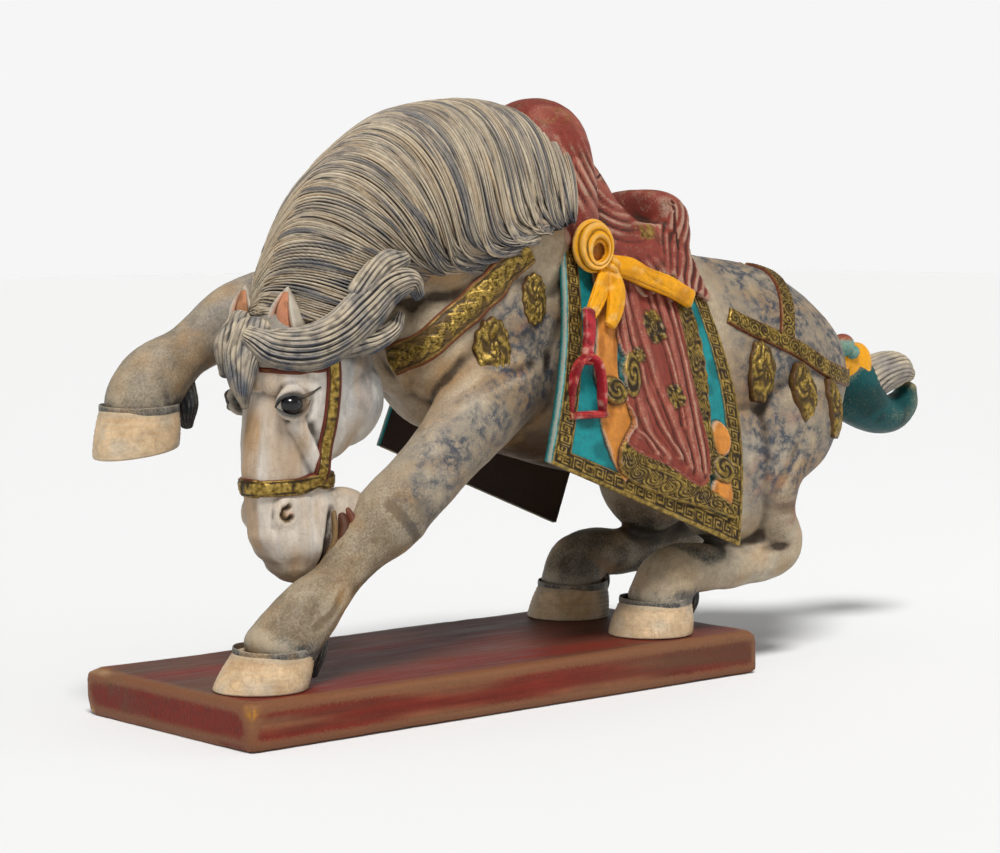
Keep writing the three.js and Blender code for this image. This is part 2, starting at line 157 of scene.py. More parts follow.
def sweepForm(stations, sides=36, steps=8, square=2.0, axis=(0, 1, 0), tip=0.6, grooves=0, depth=0.0, twist=0.0):
    centre, along, across, deep, girth = spine(stations, steps, axis)
    last = len(centre) - 1
    turn = np.radians([80, 60, 40, 20])
    at = np.concatenate([[0] * 4, np.arange(last + 1), [last] * 4]).astype(int)
    scale = np.concatenate([np.cos(turn), np.ones(last + 1), np.cos(turn[::-1])])
    reach = tip * girth[at].min(1)
    shift = np.concatenate([-np.sin(turn), np.zeros(last + 1), np.sin(turn[::-1])]) * reach
    angle = np.linspace(0, 2 * np.pi, sides, endpoint=False)
    wide = signedPower(np.cos(angle), 2 / square)
    high = signedPower(np.sin(angle), 2 / square)
    cut = np.zeros((len(at), sides))
    if grooves:
        # uneven strands: some grooves deep, some shallow, all wandering a little
        run = np.linspace(0, 1, len(at))[:, None]
        dice = np.random.default_rng(grooves * 7 + len(stations))
        phase = angle / (2 * np.pi) * grooves + 2.2 * twist * run + 0.35 * np.sin(6 * run + 2 * np.sin(angle))
        strand = np.floor(phase).astype(int) % grooves
        strength = dice.uniform(0.35, 1.25, grooves)[strand] * (0.8 + 0.3 * np.sin(9 * run + strand))
        near = np.abs((phase % 1) * 2 - 1)
        cut = ease(0.4, 0.98, near) * strength + 0.35 * ease(0.6, 1.0, np.abs((phase * 2.5) % 1 * 2 - 1))
        cut = cut * ease(0.0, 0.06, run + 0.03)
    size = (scale[:, None] * np.ones(sides))
    rings = (centre[at] + along[at] * shift[:, None])[:, None]
    rings = rings + across[at][:, None] * (size * wide * (girth[at, :1] - depth * cut))[..., None]
    rings = rings + deep[at][:, None] * (size * high * (girth[at, 1:] - depth * cut))[..., None]
    points, faces = closeForm(rings, centre[0] - along[0] * reach[0], centre[-1] + along[-1] * reach[-1])
    return points, faces, np.append(cut.ravel(), [1, 1])


def ballForm(x, y, z, rx, ry, rz, rows=18, sides=28, square=2.0):
    up = np.linspace(0, np.pi, rows + 2)[1:-1, None]
    angle = np.linspace(0, 2 * np.pi, sides, endpoint=False)[None]
    power = 2 / square
    out = np.sin(up) ** power
    rings = np.stack([out * signedPower(np.cos(angle), power) * rx, out * signedPower(np.sin(angle), power) * ry,
                      -signedPower(np.cos(up), power) * np.ones_like(angle) * rz], -1) + (x, y, z)
    points, faces = closeForm(rings, (x, y, z - rz), (x, y, z + rz))
    return points, faces, np.zeros(len(points))


def joinForms(forms):
    points, faces, marks, count = [], [], [], 0
    for form in forms:
        points.append(form[0])
        faces += [[k + count for k in f] for f in form[1]]
        marks.append(form[2])
        count += len(form[0])
    return np.vstack(points), faces, np.concatenate(marks)


def slabForm(top, bottom):
    # a closed board between two grids of points
    rows, cols = top.shape[:2]
    size = rows * cols
    i, j = np.meshgrid(np.arange(rows - 1), np.arange(cols - 1), indexing="ij")
    a = (i * cols + j).ravel()
    upper = np.stack([a, a + 1, a + cols + 1, a + cols], 1)
    faces = upper.tolist() + (upper[:, ::-1] + size).tolist()
    rim = [j for j in range(cols)] + [i * cols + cols - 1 for i in range(1, rows)]
    rim += [(rows - 1) * cols + j for j in range(cols - 2, -1, -1)] + [i * cols for i in range(rows - 2, 0, -1)]
    for a, b in zip(rim, rim[1:] + rim[:1]):
        faces.append([b, a, a + size, b + size])
    return np.vstack([top.reshape(-1, 3), bottom.reshape(-1, 3)]), faces


# Meshes: made, read and moved point by point

def addPiece(name, points, faces):
    mesh = bpy.data.meshes.new(name)
    mesh.from_pydata(((points + (0, 0, soleLevel)) / 1000).tolist(), [], faces)
    piece = bpy.data.objects.new(name, mesh)
    bpy.context.scene.collection.objects.link(piece)
    work = bmesh.new()
    work.from_mesh(mesh)
    bmesh.ops.recalc_face_normals(work, faces=work.faces)
    work.to_mesh(mesh)
    work.free()
    mesh.shade_smooth()
    return piece


def readPoints(piece, what="co"):
    data = np.zeros(len(piece.data.vertices) * 3, np.float32)
    piece.data.vertices.foreach_get(what, data)
    data = data.reshape(-1, 3).astype(float)
    return data * 1000 - (0, 0, soleLevel) if what == "co" else data


def writePoints(piece, points):
    piece.data.vertices.foreach_set("co", ((points + (0, 0, soleLevel)) / 1000).astype(np.float32).ravel())
    piece.data.update()


def edgesOf(piece):
    data = np.zeros(len(piece.data.edges) * 2, np.int32)
    piece.data.edges.foreach_get("vertices", data)
    return data.reshape(-1, 2)


def treeOf(points, piece):
    return BVHTree.FromPolygons(points.tolist(), [list(f.vertices) for f in piece.data.polygons])


def relax(values, edges, times, weight=1.0, push=-0.53):
    # smooths along the edges, with a push back so that limbs don't get thinner
    a, b = edges.T
    degree = np.bincount(edges.ravel(), minlength=len(values))[:, None]
    weight = np.asarray(weight, float).reshape(-1, 1) if np.ndim(weight) else weight
    for _ in range(times):
        for factor in ((0.5, push) if push else (0.5,)):
            total = np.stack([np.bincount(a, v[b], len(v)) + np.bincount(b, v[a], len(v)) for v in values.T], 1)
            values = values + factor * weight * (total / degree - values)
    return values


def voxelSkin(name, forms, voxel):
    points, faces, _ = joinForms(forms)
    piece = addPiece(name, points, faces)
    bpy.ops.object.select_all(action="DESELECT")
    bpy.context.view_layer.objects.active = piece
    piece.select_set(True)
    skin = piece.modifiers.new("skin", "REMESH")
    skin.mode = "VOXEL"
    skin.voxel_size = voxel / 1000
    bpy.ops.object.modifier_apply(modifier="skin")
    piece.data.shade_smooth()
    return piece


def nearLine(points, line, radius):
    # 1 on the line, falling softly to 0 at the radius
    line = np.asarray(line, float)
    close = np.full(len(points), 1e9)
    low, high = line.min(0) - radius, line.max(0) + radius
    inside = np.where(((points > low) & (points < high)).all(1))[0]
    p = points[inside]
    best = np.full(len(p), 1e9)
    for a, b in zip(line[:-1], line[1:]):
        t = np.clip(((p - a) @ (b - a)) / max((b - a) @ (b - a), 1e-9), 0, 1)
        best = np.minimum(best, np.linalg.norm(p - a - t[:, None] * (b - a), axis=1))
    close[inside] = best
    return np.clip(1 - (close / radius) ** 2, 0, 1) ** 2


def nearSpot(points, centre, radii):
    far = (((points - centre) / radii) ** 2).sum(1)
    return np.clip(1 - far, 0, 1) ** 2


def pressLines(piece, lines, radius, depth):
    # cuts soft grooves along lines laid on the piece's surface
    points, normals = readPoints(piece), readPoints(piece, "normal")
    tree = treeOf(points, piece)
    cut = np.zeros(len(points))
    for line in lines:
        laid = np.array([tree.find_nearest(Vector(p))[0] for p in smoothLine(line, 8)])
        cut = np.maximum(cut, nearLine(points, laid, radius))
    writePoints(piece, points - normals * (depth * cut)[:, None])
    return cut


def hollowOf(piece, times, span):
    # 1 in a hollow, -1 on a ridge
    points, normals, edges = readPoints(piece), readPoints(piece, "normal"), edgesOf(piece)
    rounder = relax(points, edges, times, push=None)
    return np.clip(((rounder - points) * normals).sum(1) / span, -1, 1)


def insideOf(spots, outline):
    # signed distance to a closed outline, above 0 inside
    a = np.asarray(outline, float)
    b = np.roll(a, -1, axis=0)
    best = np.full(len(spots), 1e9)
    inside = np.zeros(len(spots), bool)
    for p, q in zip(a, b):
        t = np.clip(((spots - p) @ (q - p)) / max((q - p) @ (q - p), 1e-9), 0, 1)
        best = np.minimum(best, np.linalg.norm(spots - p - t[:, None] * (q - p), axis=1))
        crosses = (p[1] > spots[:, 1]) != (q[1] > spots[:, 1])
        with np.errstate(divide="ignore", invalid="ignore"):
            at = (q[0] - p[0]) * (spots[:, 1] - p[1]) / (q[1] - p[1]) + p[0]
        inside ^= crosses & (spots[:, 0] < at)
    return np.where(inside, best, -best)


# Materials

def addNode(tree, kind, settings=None, links=None):
    node = tree.nodes.new(kind)
    for key, value in (settings or {}).items():
        if isinstance(key, str) and hasattr(node, key):
            setattr(node, key, value)
        else:
            node.inputs[key].default_value = value
    for key, source in (links or {}).items():
        tree.links.new(source, node.inputs[key])
    return node


def rgba(name):
    return (*linear(name), 1.0)


def agedPaint(name, look):
    # Distemper and leaf over gesso on carved wood, brushed by hand and rubbed by age: the eye sees a matt,
    # mottled coat with dirt in its hollows, paler ridges, small chips and a fine net of cracks.
    material = bpy.data.materials.new(name)
    material.use_nodes = True
    tree = material.node_tree
    tree.nodes.clear()
    place = addNode(tree, "ShaderNodeTexCoord").outputs["Object"]
    paint = addNode(tree, "ShaderNodeAttribute", {"attribute_name": "paint"}).outputs["Color"]
    hollow = addNode(tree, "ShaderNodeAttribute", {"attribute_name": "hollow"}).outputs["Fac"]
    gilt = addNode(tree, "ShaderNodeAttribute", {"attribute_name": "gilt"}).outputs["Fac"]
    grain = addNode(tree, "ShaderNodeMapping", {"Scale": look.get("grain", (1, 1, 1))}, {"Vector": place})
    cloud = addNode(tree, "ShaderNodeTexNoise", {"Scale": 1000 / look.get("cloud", 60), "Detail": 5.0,
                                                 "Roughness": 0.62}, {"Vector": place}).outputs["Fac"]
    stroke = addNode(tree, "ShaderNodeTexNoise", {"Scale": 1000 / look.get("stroke", 9), "Detail": 4.0,
                                                  "Roughness": 0.65},
                                                  {"Vector": grain.outputs["Vector"]}).outputs["Fac"]
    speck = addNode(tree, "ShaderNodeTexNoise", {"Scale": 1000 / 2.6, "Detail": 2.0}, {"Vector": place}).outputs["Fac"]
    # tone: broad clouds and brush strokes lighten and darken the paint
    tone = addNode(tree, "ShaderNodeMapRange", {"From Min": 0.3, "From Max": 0.7, "To Min": 1 - look["tone"],
                                                "To Max": 1 + look["tone"]}, {"Value": cloud}).outputs["Result"]
    touch = addNode(tree, "ShaderNodeMapRange", {"From Min": 0.3, "From Max": 0.7, "To Min": 1 - look["brush"],
                                                 "To Max": 1 + look["brush"]}, {"Value": stroke}).outputs["Result"]
    both = addNode(tree, "ShaderNodeMath", {"operation": "MULTIPLY"}, {0: tone, 1: touch}).outputs["Value"]
    toned = addNode(tree, "ShaderNodeVectorMath", {"operation": "SCALE"}, {0: paint, "Scale": both}).outputs["Vector"]
    colour = toned
    if "wash" in look:
        # a warm wash that shows through in patches
        patch = addNode(tree, "ShaderNodeTexNoise", {"Scale": 1000 / look["washSpan"], "Detail": 3.0},
                        {"Vector": grain.outputs["Vector"]}).outputs["Fac"]
        share = addNode(tree, "ShaderNodeMapRange", {"From Min": 0.5, "From Max": 0.68, "To Max": look["washShare"]},
                        {"Value": patch}).outputs["Result"]
        colour = addNode(tree, "ShaderNodeMix", {"data_type": "RGBA", 7: rgba(look["wash"])},
                         {0: share, 6: colour}).outputs[2]
    if look.get("dapple"):
        # the net of blue-grey strokes round pale spots, about 30 mm apart
        reach = addNode(tree, "ShaderNodeAttribute", {"attribute_name": "dapple"}).outputs["Fac"]
        shake = addNode(tree, "ShaderNodeTexNoise", {"Scale": 1000 / 38, "Detail": 3.0, "Roughness": 0.6},
                        {"Vector": place}).outputs["Color"]
        wander = addNode(tree, "ShaderNodeVectorMath", {"operation": "MULTIPLY_ADD", 1: (0.034, 0.034, 0.034)},
                         {0: shake, 2: place}).outputs["Vector"]
        cell = addNode(tree, "ShaderNodeTexVoronoi", {"feature": "DISTANCE_TO_EDGE", "Scale": 1000 / 29},
                       {"Vector": wander}).outputs["Distance"]
        net = addNode(tree, "ShaderNodeMapRange", {"From Min": 0.06, "From Max": 0.46, "To Min": 1.0, "To Max": 0.0},
                      {"Value": cell}).outputs["Result"]
        broken = addNode(tree, "ShaderNodeMapRange", {"From Min": 0.3, "From Max": 0.56},
                         {"Value": stroke}).outputs["Result"]
        patchy = addNode(tree, "ShaderNodeMapRange", {"From Min": 0.3, "From Max": 0.5},
                         {"Value": cloud}).outputs["Result"]
        netted = addNode(tree, "ShaderNodeMath", {"operation": "MULTIPLY"}, {0: net, 1: broken}).outputs["Value"]
        local = addNode(tree, "ShaderNodeMath", {"operation": "MULTIPLY"}, {0: netted, 1: patchy}).outputs["Value"]
        share = addNode(tree, "ShaderNodeMath", {"operation": "MULTIPLY", "use_clamp": True}, {0: local, 1: reach})
        colour = addNode(tree, "ShaderNodeMix", {"data_type": "RGBA", 7: rgba("dapple")},
                         {0: share.outputs["Value"], 6: colour}).outputs[2]
    # ridges rubbed to the ground coat
    rub = addNode(tree, "ShaderNodeMath", {"operation": "MULTIPLY_ADD", 1: -1.0},
                  {0: hollow, 2: speck}).outputs["Value"]
    bare = addNode(tree, "ShaderNodeMapRange", {"From Min": 0.75, "From Max": 1.35, "To Max": look["wear"]},
                   {"Value": rub}).outputs["Result"]
    colour = addNode(tree, "ShaderNodeMix", {"data_type": "RGBA", 7: rgba(look["under"])},
                     {0: bare, 6: colour}).outputs[2]
    # leaf gold lies on the raised marks, its hollows stay brown
    leafWear = addNode(tree, "ShaderNodeMapRange", {"From Min": 0.36, "From Max": 0.64},
                       {"Value": stroke}).outputs["Result"]
    leafTone = addNode(tree, "ShaderNodeMix", {"data_type": "RGBA", 6: rgba("#5B4519"), 7: rgba("#B89B52")},
                       {0: leafWear}).outputs[2]
    colour = addNode(tree, "ShaderNodeMix", {"data_type": "RGBA"}, {0: gilt, 6: colour, 7: leafTone}).outputs[2]
    dirt = addNode(tree, "ShaderNodeMath", {"operation": "MULTIPLY_ADD", 1: 0.8},
                   {0: cloud, 2: hollow}).outputs["Value"]
    grime = addNode(tree, "ShaderNodeMapRange", {"From Min": 0.52, "From Max": 1.25, "To Max": look["dirt"]},
                    {"Value": dirt}).outputs["Result"]
    colour = addNode(tree, "ShaderNodeMix", {"data_type": "RGBA", 7: rgba(look.get("grime", "#2C2118"))},
                     {0: grime, 6: colour}).outputs[2]
    # craquelure, about 11 mm between cracks, thin and broken
    crackle = addNode(tree, "ShaderNodeTexVoronoi", {"feature": "DISTANCE_TO_EDGE", "Scale": 1000 / 11,
                                                     "Randomness": 1.0}, {"Vector": place}).outputs["Distance"]
    crack = addNode(tree, "ShaderNodeMapRange", {"From Min": 0.0, "From Max": 0.035, "To Min": look["crack"],
                                                 "To Max": 0.0},
                    {"Value": crackle}).outputs["Result"]
    crack = addNode(tree, "ShaderNodeMath", {"operation": "MULTIPLY"}, {0: crack, 1: cloud}).outputs["Value"]
    colour = addNode(tree, "ShaderNodeMix", {"data_type": "RGBA", 7: rgba("#33281E")}, {0: crack, 6: colour}).outputs[2]
    height = addNode(tree, "ShaderNodeMath", {"operation": "ADD"}, {0: stroke, 1: speck}).outputs["Value"]
    bump = addNode(tree, "ShaderNodeBump", {"Strength": look["bump"], "Distance": 0.0012}, {"Height": height})
    rough = addNode(tree, "ShaderNodeMapRange", {"From Min": 0.3, "From Max": 0.7, "To Min": look["rough"] - 0.1,
                                                 "To Max": look["rough"] + 0.12}, {"Value": stroke}).outputs["Result"]
    metal = addNode(tree, "ShaderNodeMath", {"operation": "MULTIPLY", 1: 0.85}, {0: gilt}).outputs["Value"]
    shader = addNode(tree, "ShaderNodeBsdfPrincipled", {"IOR": 1.48, "Specular IOR Level": look.get("gloss", 0.18)},
                     {"Base Color": colour, "Roughness": rough, "Metallic": metal, "Normal": bump.outputs["Normal"]})
    addNode(tree, "ShaderNodeOutputMaterial", None, {"Surface": shader.outputs["BSDF"]})
    return material


looks = {
    "coat": {"tone": 0.24, "brush": 0.2, "wash": "coatWarm", "washSpan": 55, "washShare": 0.55, "dapple": True,
             "wear": 0.5, "under": "#C2B49B", "dirt": 0.9, "crack": 0.45, "bump": 0.45, "rough": 0.52},
    "face": {"tone": 0.16, "brush": 0.17, "wash": "coatWarm", "washSpan": 42, "washShare": 0.5, "grain": (1, 1, 0.22),
             "dapple": True, "wear": 0.4, "under": "#CFC4B2", "dirt": 0.9, "crack": 0.35, "bump": 0.4, "rough": 0.48},
    "mane": {"tone": 0.14, "brush": 0.16, "stroke": 6, "wear": 0.45, "under": "#B9A88C", "dirt": 0.85,
             "grime": "#23242B", "crack": 0.0, "bump": 0.5, "rough": 0.62},
    "cloth": {"tone": 0.14, "brush": 0.16, "stroke": 7, "wear": 0.5, "under": "#BFA58C", "dirt": 0.85, "crack": 0.3,
              "bump": 0.4, "rough": 0.5},
    "gilt": {"tone": 0.15, "brush": 0.2, "stroke": 5, "wear": 0.25, "under": "bole", "dirt": 0.9,
             "grime": "#2A2010", "crack": 0.2, "bump": 0.5, "rough": 0.42},
    "bright": {"tone": 0.1, "brush": 0.12, "stroke": 8, "wear": 0.3, "under": "#D9BE84", "dirt": 0.8, "crack": 0.25,
               "bump": 0.3, "rough": 0.42},
    "bare": {"tone": 0.25, "brush": 0.2, "stroke": 8, "wear": 0.2, "under": "#5A4534", "dirt": 0.7, "crack": 0.2,
             "bump": 0.5, "rough": 0.7, "grain": (0.15, 1, 1)},
    "plinth": {"tone": 0.14, "brush": 0.28, "stroke": 7, "wash": "plinthBrown", "washSpan": 60, "washShare": 0.75,
               "grain": (0.07, 1, 1), "wear": 0.8, "under": "plinthWear", "dirt": 0.6, "crack": 0.35, "bump": 0.5,
               "rough": 0.5},
    "eye": {"gloss": 0.5, "tone": 0.05, "brush": 0.05, "wear": 0.0, "under": "coatGrey", "dirt": 0.0, "crack": 0.0,
            "bump": 0.05, "rough": 0.17},
}
names = {"eye": "black_lacquer", "coat": "distemper_on_carved_wood", "face": "pale_distemper_on_carved_wood",
         "mane": "gouged_hair_paint",
         "cloth": "polychrome_relief_paint", "gilt": "leaf_gold_on_bole", "bright": "glossy_colour_on_gesso",
         "bare": "bare_dark_wood", "plinth": "rubbed_red_plank_paint"}
materials = {key: agedPaint(names[key], look) for key, look in looks.items()}
print("materials made")


def dress(piece, look, colours, gilt=None, hollow=None, dapple=None, span=(3, 0.6)):
    mesh = piece.data
    count = len(mesh.vertices)
    colours = np.broadcast_to(colours, (count, 3))
    store = mesh.attributes.new("paint", "FLOAT_COLOR", "POINT")
    store.data.foreach_set("color", np.hstack([np.clip(colours, 0, 1), np.ones((count, 1))]).astype(np.float32).ravel())
    values = {"hollow": hollowOf(piece, *span) if hollow is None else hollow, "gilt": gilt, "dapple": dapple}
    for key, value in values.items():
        value = np.zeros(count) if value is None else np.broadcast_to(value, count)
        store = mesh.attributes.new(key, "FLOAT", "POINT")
        store.data.foreach_set("value", value.astype(np.float32))
    mesh.materials.clear()
    mesh.materials.append(materials[look])
    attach(piece, "root")
    return piece


# The horse's skin: trunk, neck and limbs, swept along the same stations as the solid

horse = {
    "voxel": 5.6, "rounds": 8,
    "trunk": [(-62, 0, 372, 52, 62), (-30, 0, 374, 86, 100), (90, 0, 374, 104, 136), (300, 0, 342, 106, 150),
              (440, 0, 336, 118, 141), (520, 0, 332, 128, 132), (590, 0, 313, 120, 111), (640, 0, 291, 96, 86),
              (672, 0, 280, 60, 58)],
    "crest": [(-232, -30, 385, 50, 56), (-210, -26, 440, 58, 62), (-146, -18, 504, 70, 86), (-66, -10, 528, 82, 120),
              (24, -5, 518, 92, 148), (106, 0, 492, 98, 162)],
    "nearForeleg": [(66, -62, 350, 46, 76), (14, -80, 312, 44, 60), (-78, -94, 238, 38, 44), (-156, -97, 178, 38, 44),
                    (-196, -98, 146, 32, 32), (-232, -98, 114, 28, 27), (-270, -97, 82, 36, 37),
                    (-314, -94, 38, 41, 41)],
    "raisedForeleg": [(40, 60, 360, 46, 76), (-60, 74, 395, 42, 60), (-150, 82, 415, 38, 50), (-225, 85, 412, 36, 44),
                      (-300, 88, 373, 28, 32), (-345, 90, 343, 38, 41), (-366, 90, 320, 41, 42),
                      (-371, 90, 304, 41, 41)],
    "hindLeg": [(552, 62, 312, 60, 86), (528, 90, 258, 58, 80), (484, 104, 196, 44, 50), (487, 102, 140, 34, 33),
                (506, 99, 94, 30, 34), (430, 98, 74, 26, 27), (338, 98, 78, 34, 34), (304, 98, 68, 38, 39),
                (288, 96, 38, 41, 41)],
    "farHindForward": 26,
}


def mirrored(stations, side, forward=0):
    return [(x + forward, y * side, z, w, d) for x, y, z, w, d in stations]


neckLine = [(x, y, z, w * 1.06, d * 0.92) for x, y, z, w, d in horse["crest"]]
skinForms = [sweepForm(horse["trunk"]), sweepForm(neckLine), sweepForm(horse["nearForeleg"]),
             sweepForm(horse["raisedForeleg"])]
for side, forward in ((-1, 0), (1, horse["farHindForward"])):
    skinForms.append(sweepForm(mirrored(horse["hindLeg"], side, forward)))
    skinForms.append(ballForm(428 + forward, 84 * side, 196, 94, 50, 96))
    # point of the hock, breast and shoulder blade
    skinForms.append(ballForm(512 + forward, 99 * side, 104, 26, 24, 30))
    skinForms.append(ballForm(-34, 40 * side, 372, 44, 44, 66))
    skinForms.append(ballForm(40, 62 * side, 400, 76, 42, 86))
skinForms.append(ballForm(-140, -100, 182, 40, 34, 36))
skinForms.append(ballForm(-232, 86, 400, 38, 36, 36))
skin = voxelSkin("horse_skin", skinForms, horse["voxel"])
points, edges = readPoints(skin), edgesOf(skin)
joints = np.zeros(len(points))
for spot, radii in (((20, -80, 330), (110, 70, 110)), ((0, 70, 380), (110, 60, 90)), ((530, -90, 260), (110, 60, 120)),
                    ((556, 90, 260), (110, 60, 120)), ((430, -84, 200), (130, 70, 130)),
                    ((456, 84, 200), (130, 70, 130))):
    joints = np.maximum(joints, np.sqrt(nearSpot(points, spot, radii)))
points = relax(points, edges, horse["rounds"])
points = relax(points, edges, 22, joints)
writePoints(skin, points)
print("horse_skin", len(points), "points")

normals = readPoints(skin, "normal")
x, y, z = points.T
for line, radius, depth in (
        ([(-60, -112, 316), (-10, -122, 336), (60, -112, 352)], 13, 3.0),        # above the forearm
        ([(60, -100, 300), (86, -96, 346), (112, -104, 400)], 14, 3.5),          # behind the elbow
        ([(-176, -128, 200), (-150, -134, 172), (-128, -124, 150)], 9, 2.0),     # knee
        ([(-182, -110, 186), (-196, -124, 160)], 8, 1.6),
        ([(-286, -130, 70), (-262, -134, 84), (-246, -124, 104)], 8, 2.0),       # fetlock
        ([(490, -148, 232), (452, -140, 150), (500, -134, 152)], 12, 2.4),       # gaskin
        ([(460, -120, 96), (500, -126, 100), (528, -112, 122)], 9, 2.0),
        ([(-88, -20, 330), (-84, 0, 372), (-86, 10, 420)], 14, 5.0)):            # between the breast muscles
    points = points - normals * (depth * nearLine(points, smoothLine(line, 6), radius))[:, None]
points = points + normals * (0.7 * ripple(points, 34, 3) + 0.25 * ripple(points, 13, 4))[:, None]
writePoints(skin, points)
normals = readPoints(skin, "normal")

x, y, z = points.T
paint = flood(points, "coat")
paint = tint(paint, "coatPale", 0.5 * ease(-0.1, 0.9, ripple(points, 90, 5)))
paint = tint(paint, "coatWarm", 0.5 * ease(0.1, 0.9, ripple(points, 70, 6)))
# dark brown on the downward-facing undersides: partly the belly's own dark brown, partly painted shade
under = ease(0.15, 0.8, -normals[:, 2]) * ease(-60, 40, x) * ease(360, 260, z) * ease(120, 90, np.abs(y))
paint = tint(paint, "belly", 0.9 * under)
# dark brown on the inner sides between the legs: partly the belly's own dark brown, partly painted shade
inside = ease(60, 30, np.abs(y)) * ease(340, 250, z) * ease(0, 60, x)
paint = tint(paint, "belly", 0.85 * inside)
# the far hind leg's lower part near black: dark paint with painted shadow of the near leg and cloth
farLegPaintAndShadow = ease(20, 60, y) * ease(150, 110, z) * ease(250, 290, x)
paint = tint(paint, "dark", 0.8 * farLegPaintAndShadow)
# top of the near hind fetlock near black: dark paint with painted shadow of the cloth over it
fetlock = nearSpot(points, (352, -104, 112), (58, 50, 42)) ** 0.5
paint = tint(paint, "dark", 0.92 * ease(0.25, 0.45, fetlock))
for spot, radii, share in (((455, -128, 190), (60, 30, 40), 0.5), ((520, -128, 150), (60, 40, 46), 0.65),
                           ((446, -128, 300), (40, 30, 22), 0.5), ((-20, -118, 408), (34, 30, 22), 0.8),
                           ((60, -108, 400), (40, 30, 16), 0.5), ((28, -108, 340), (26, 30, 14), 0.6),
                           ((-250, 60, 400), (60, 30, 10), 0.6), ((500, -132, 268), (34, 24, 12), 0.45)):
    rub = np.sqrt(nearSpot(points, spot, radii)) * ease(-0.5, 0.6, ripple(points, 14, 9))
    paint = tint(paint, "pink", share * rub)
shade = ease(-10, 40, y) * ease(330, 420, z + 0.2 * x + 60) * ease(40, -60, x)
paint = tint(paint, "#75706A", 0.8 * shade)
# painted shadow of the head on the lower near foreleg, in dark brown
paint = tint(paint, "#63533E", 0.9 * nearLine(points, [(-170, -110, 150), (-240, -112, 96), (-300, -110, 50)],
                                              95) ** 0.6)
paint = tint(paint, "#6F6558", 0.65 * ease(-250, -300, x) * ease(20, 50, y))      # the raised far leg darker and greyer: grey paint with painted shade
paint = tint(paint, "#5B4B3A", 0.4 * ease(440, 480, x) * ease(200, 150, z) * ease(0.9, -0.4, ripple(points, 30, 8)))
# ragged dark brush marks over each coronet
for hx, hy, hz in ((-314, -90, 42), (-370, 90, 306), (288, -91, 42), (314, 91, 42)):
    around = ease(70, 58, np.hypot(x - hx, y - hy))
    ragged = ease(17, 5, z - hz + 9 * ripple(points * (1, 1, 0.4), 9, 12, 14))
    paint = tint(paint, "coronet", 0.85 * around * ragged * ease(hz - 40, hz - 30, z))
# brown band on the near side of the neck under the mane: brown paint with painted shadow of the mane
paint = tint(paint, "#6E5A42", 0.6 * nearLine(points, [(-120, -60, 470), (-60, -92, 452), (20, -104, 470)], 60))
paint = tint(paint, "#3B2A1E", 0.8 * nearLine(points, [(-40, -112, 327), (-10, -116, 322), (30, -112, 314)], 2.6))
dapple = np.clip(ease(380, 430, x) * ease(110, 200, z) + nearSpot(points, (60, -110, 380), (110, 60, 100)) * 1.6
                 + nearLine(points, [(60, -110, 330), (-80, -115, 250), (-130, -125, 200)], 70) * 1.1
                 + nearSpot(points, (60, 110, 380), (110, 60, 100)) * 1.6, 0, 1) * (1 - under) * (1 - inside)
dress(skin, "coat", paint, dapple=dapple * 0.95, span=(8, 1.6))
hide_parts("carved_horse")
skinTree = treeOf(points, skin)

# Hooves: horn walls that spread to the ground, with growth rings and a rounded rim

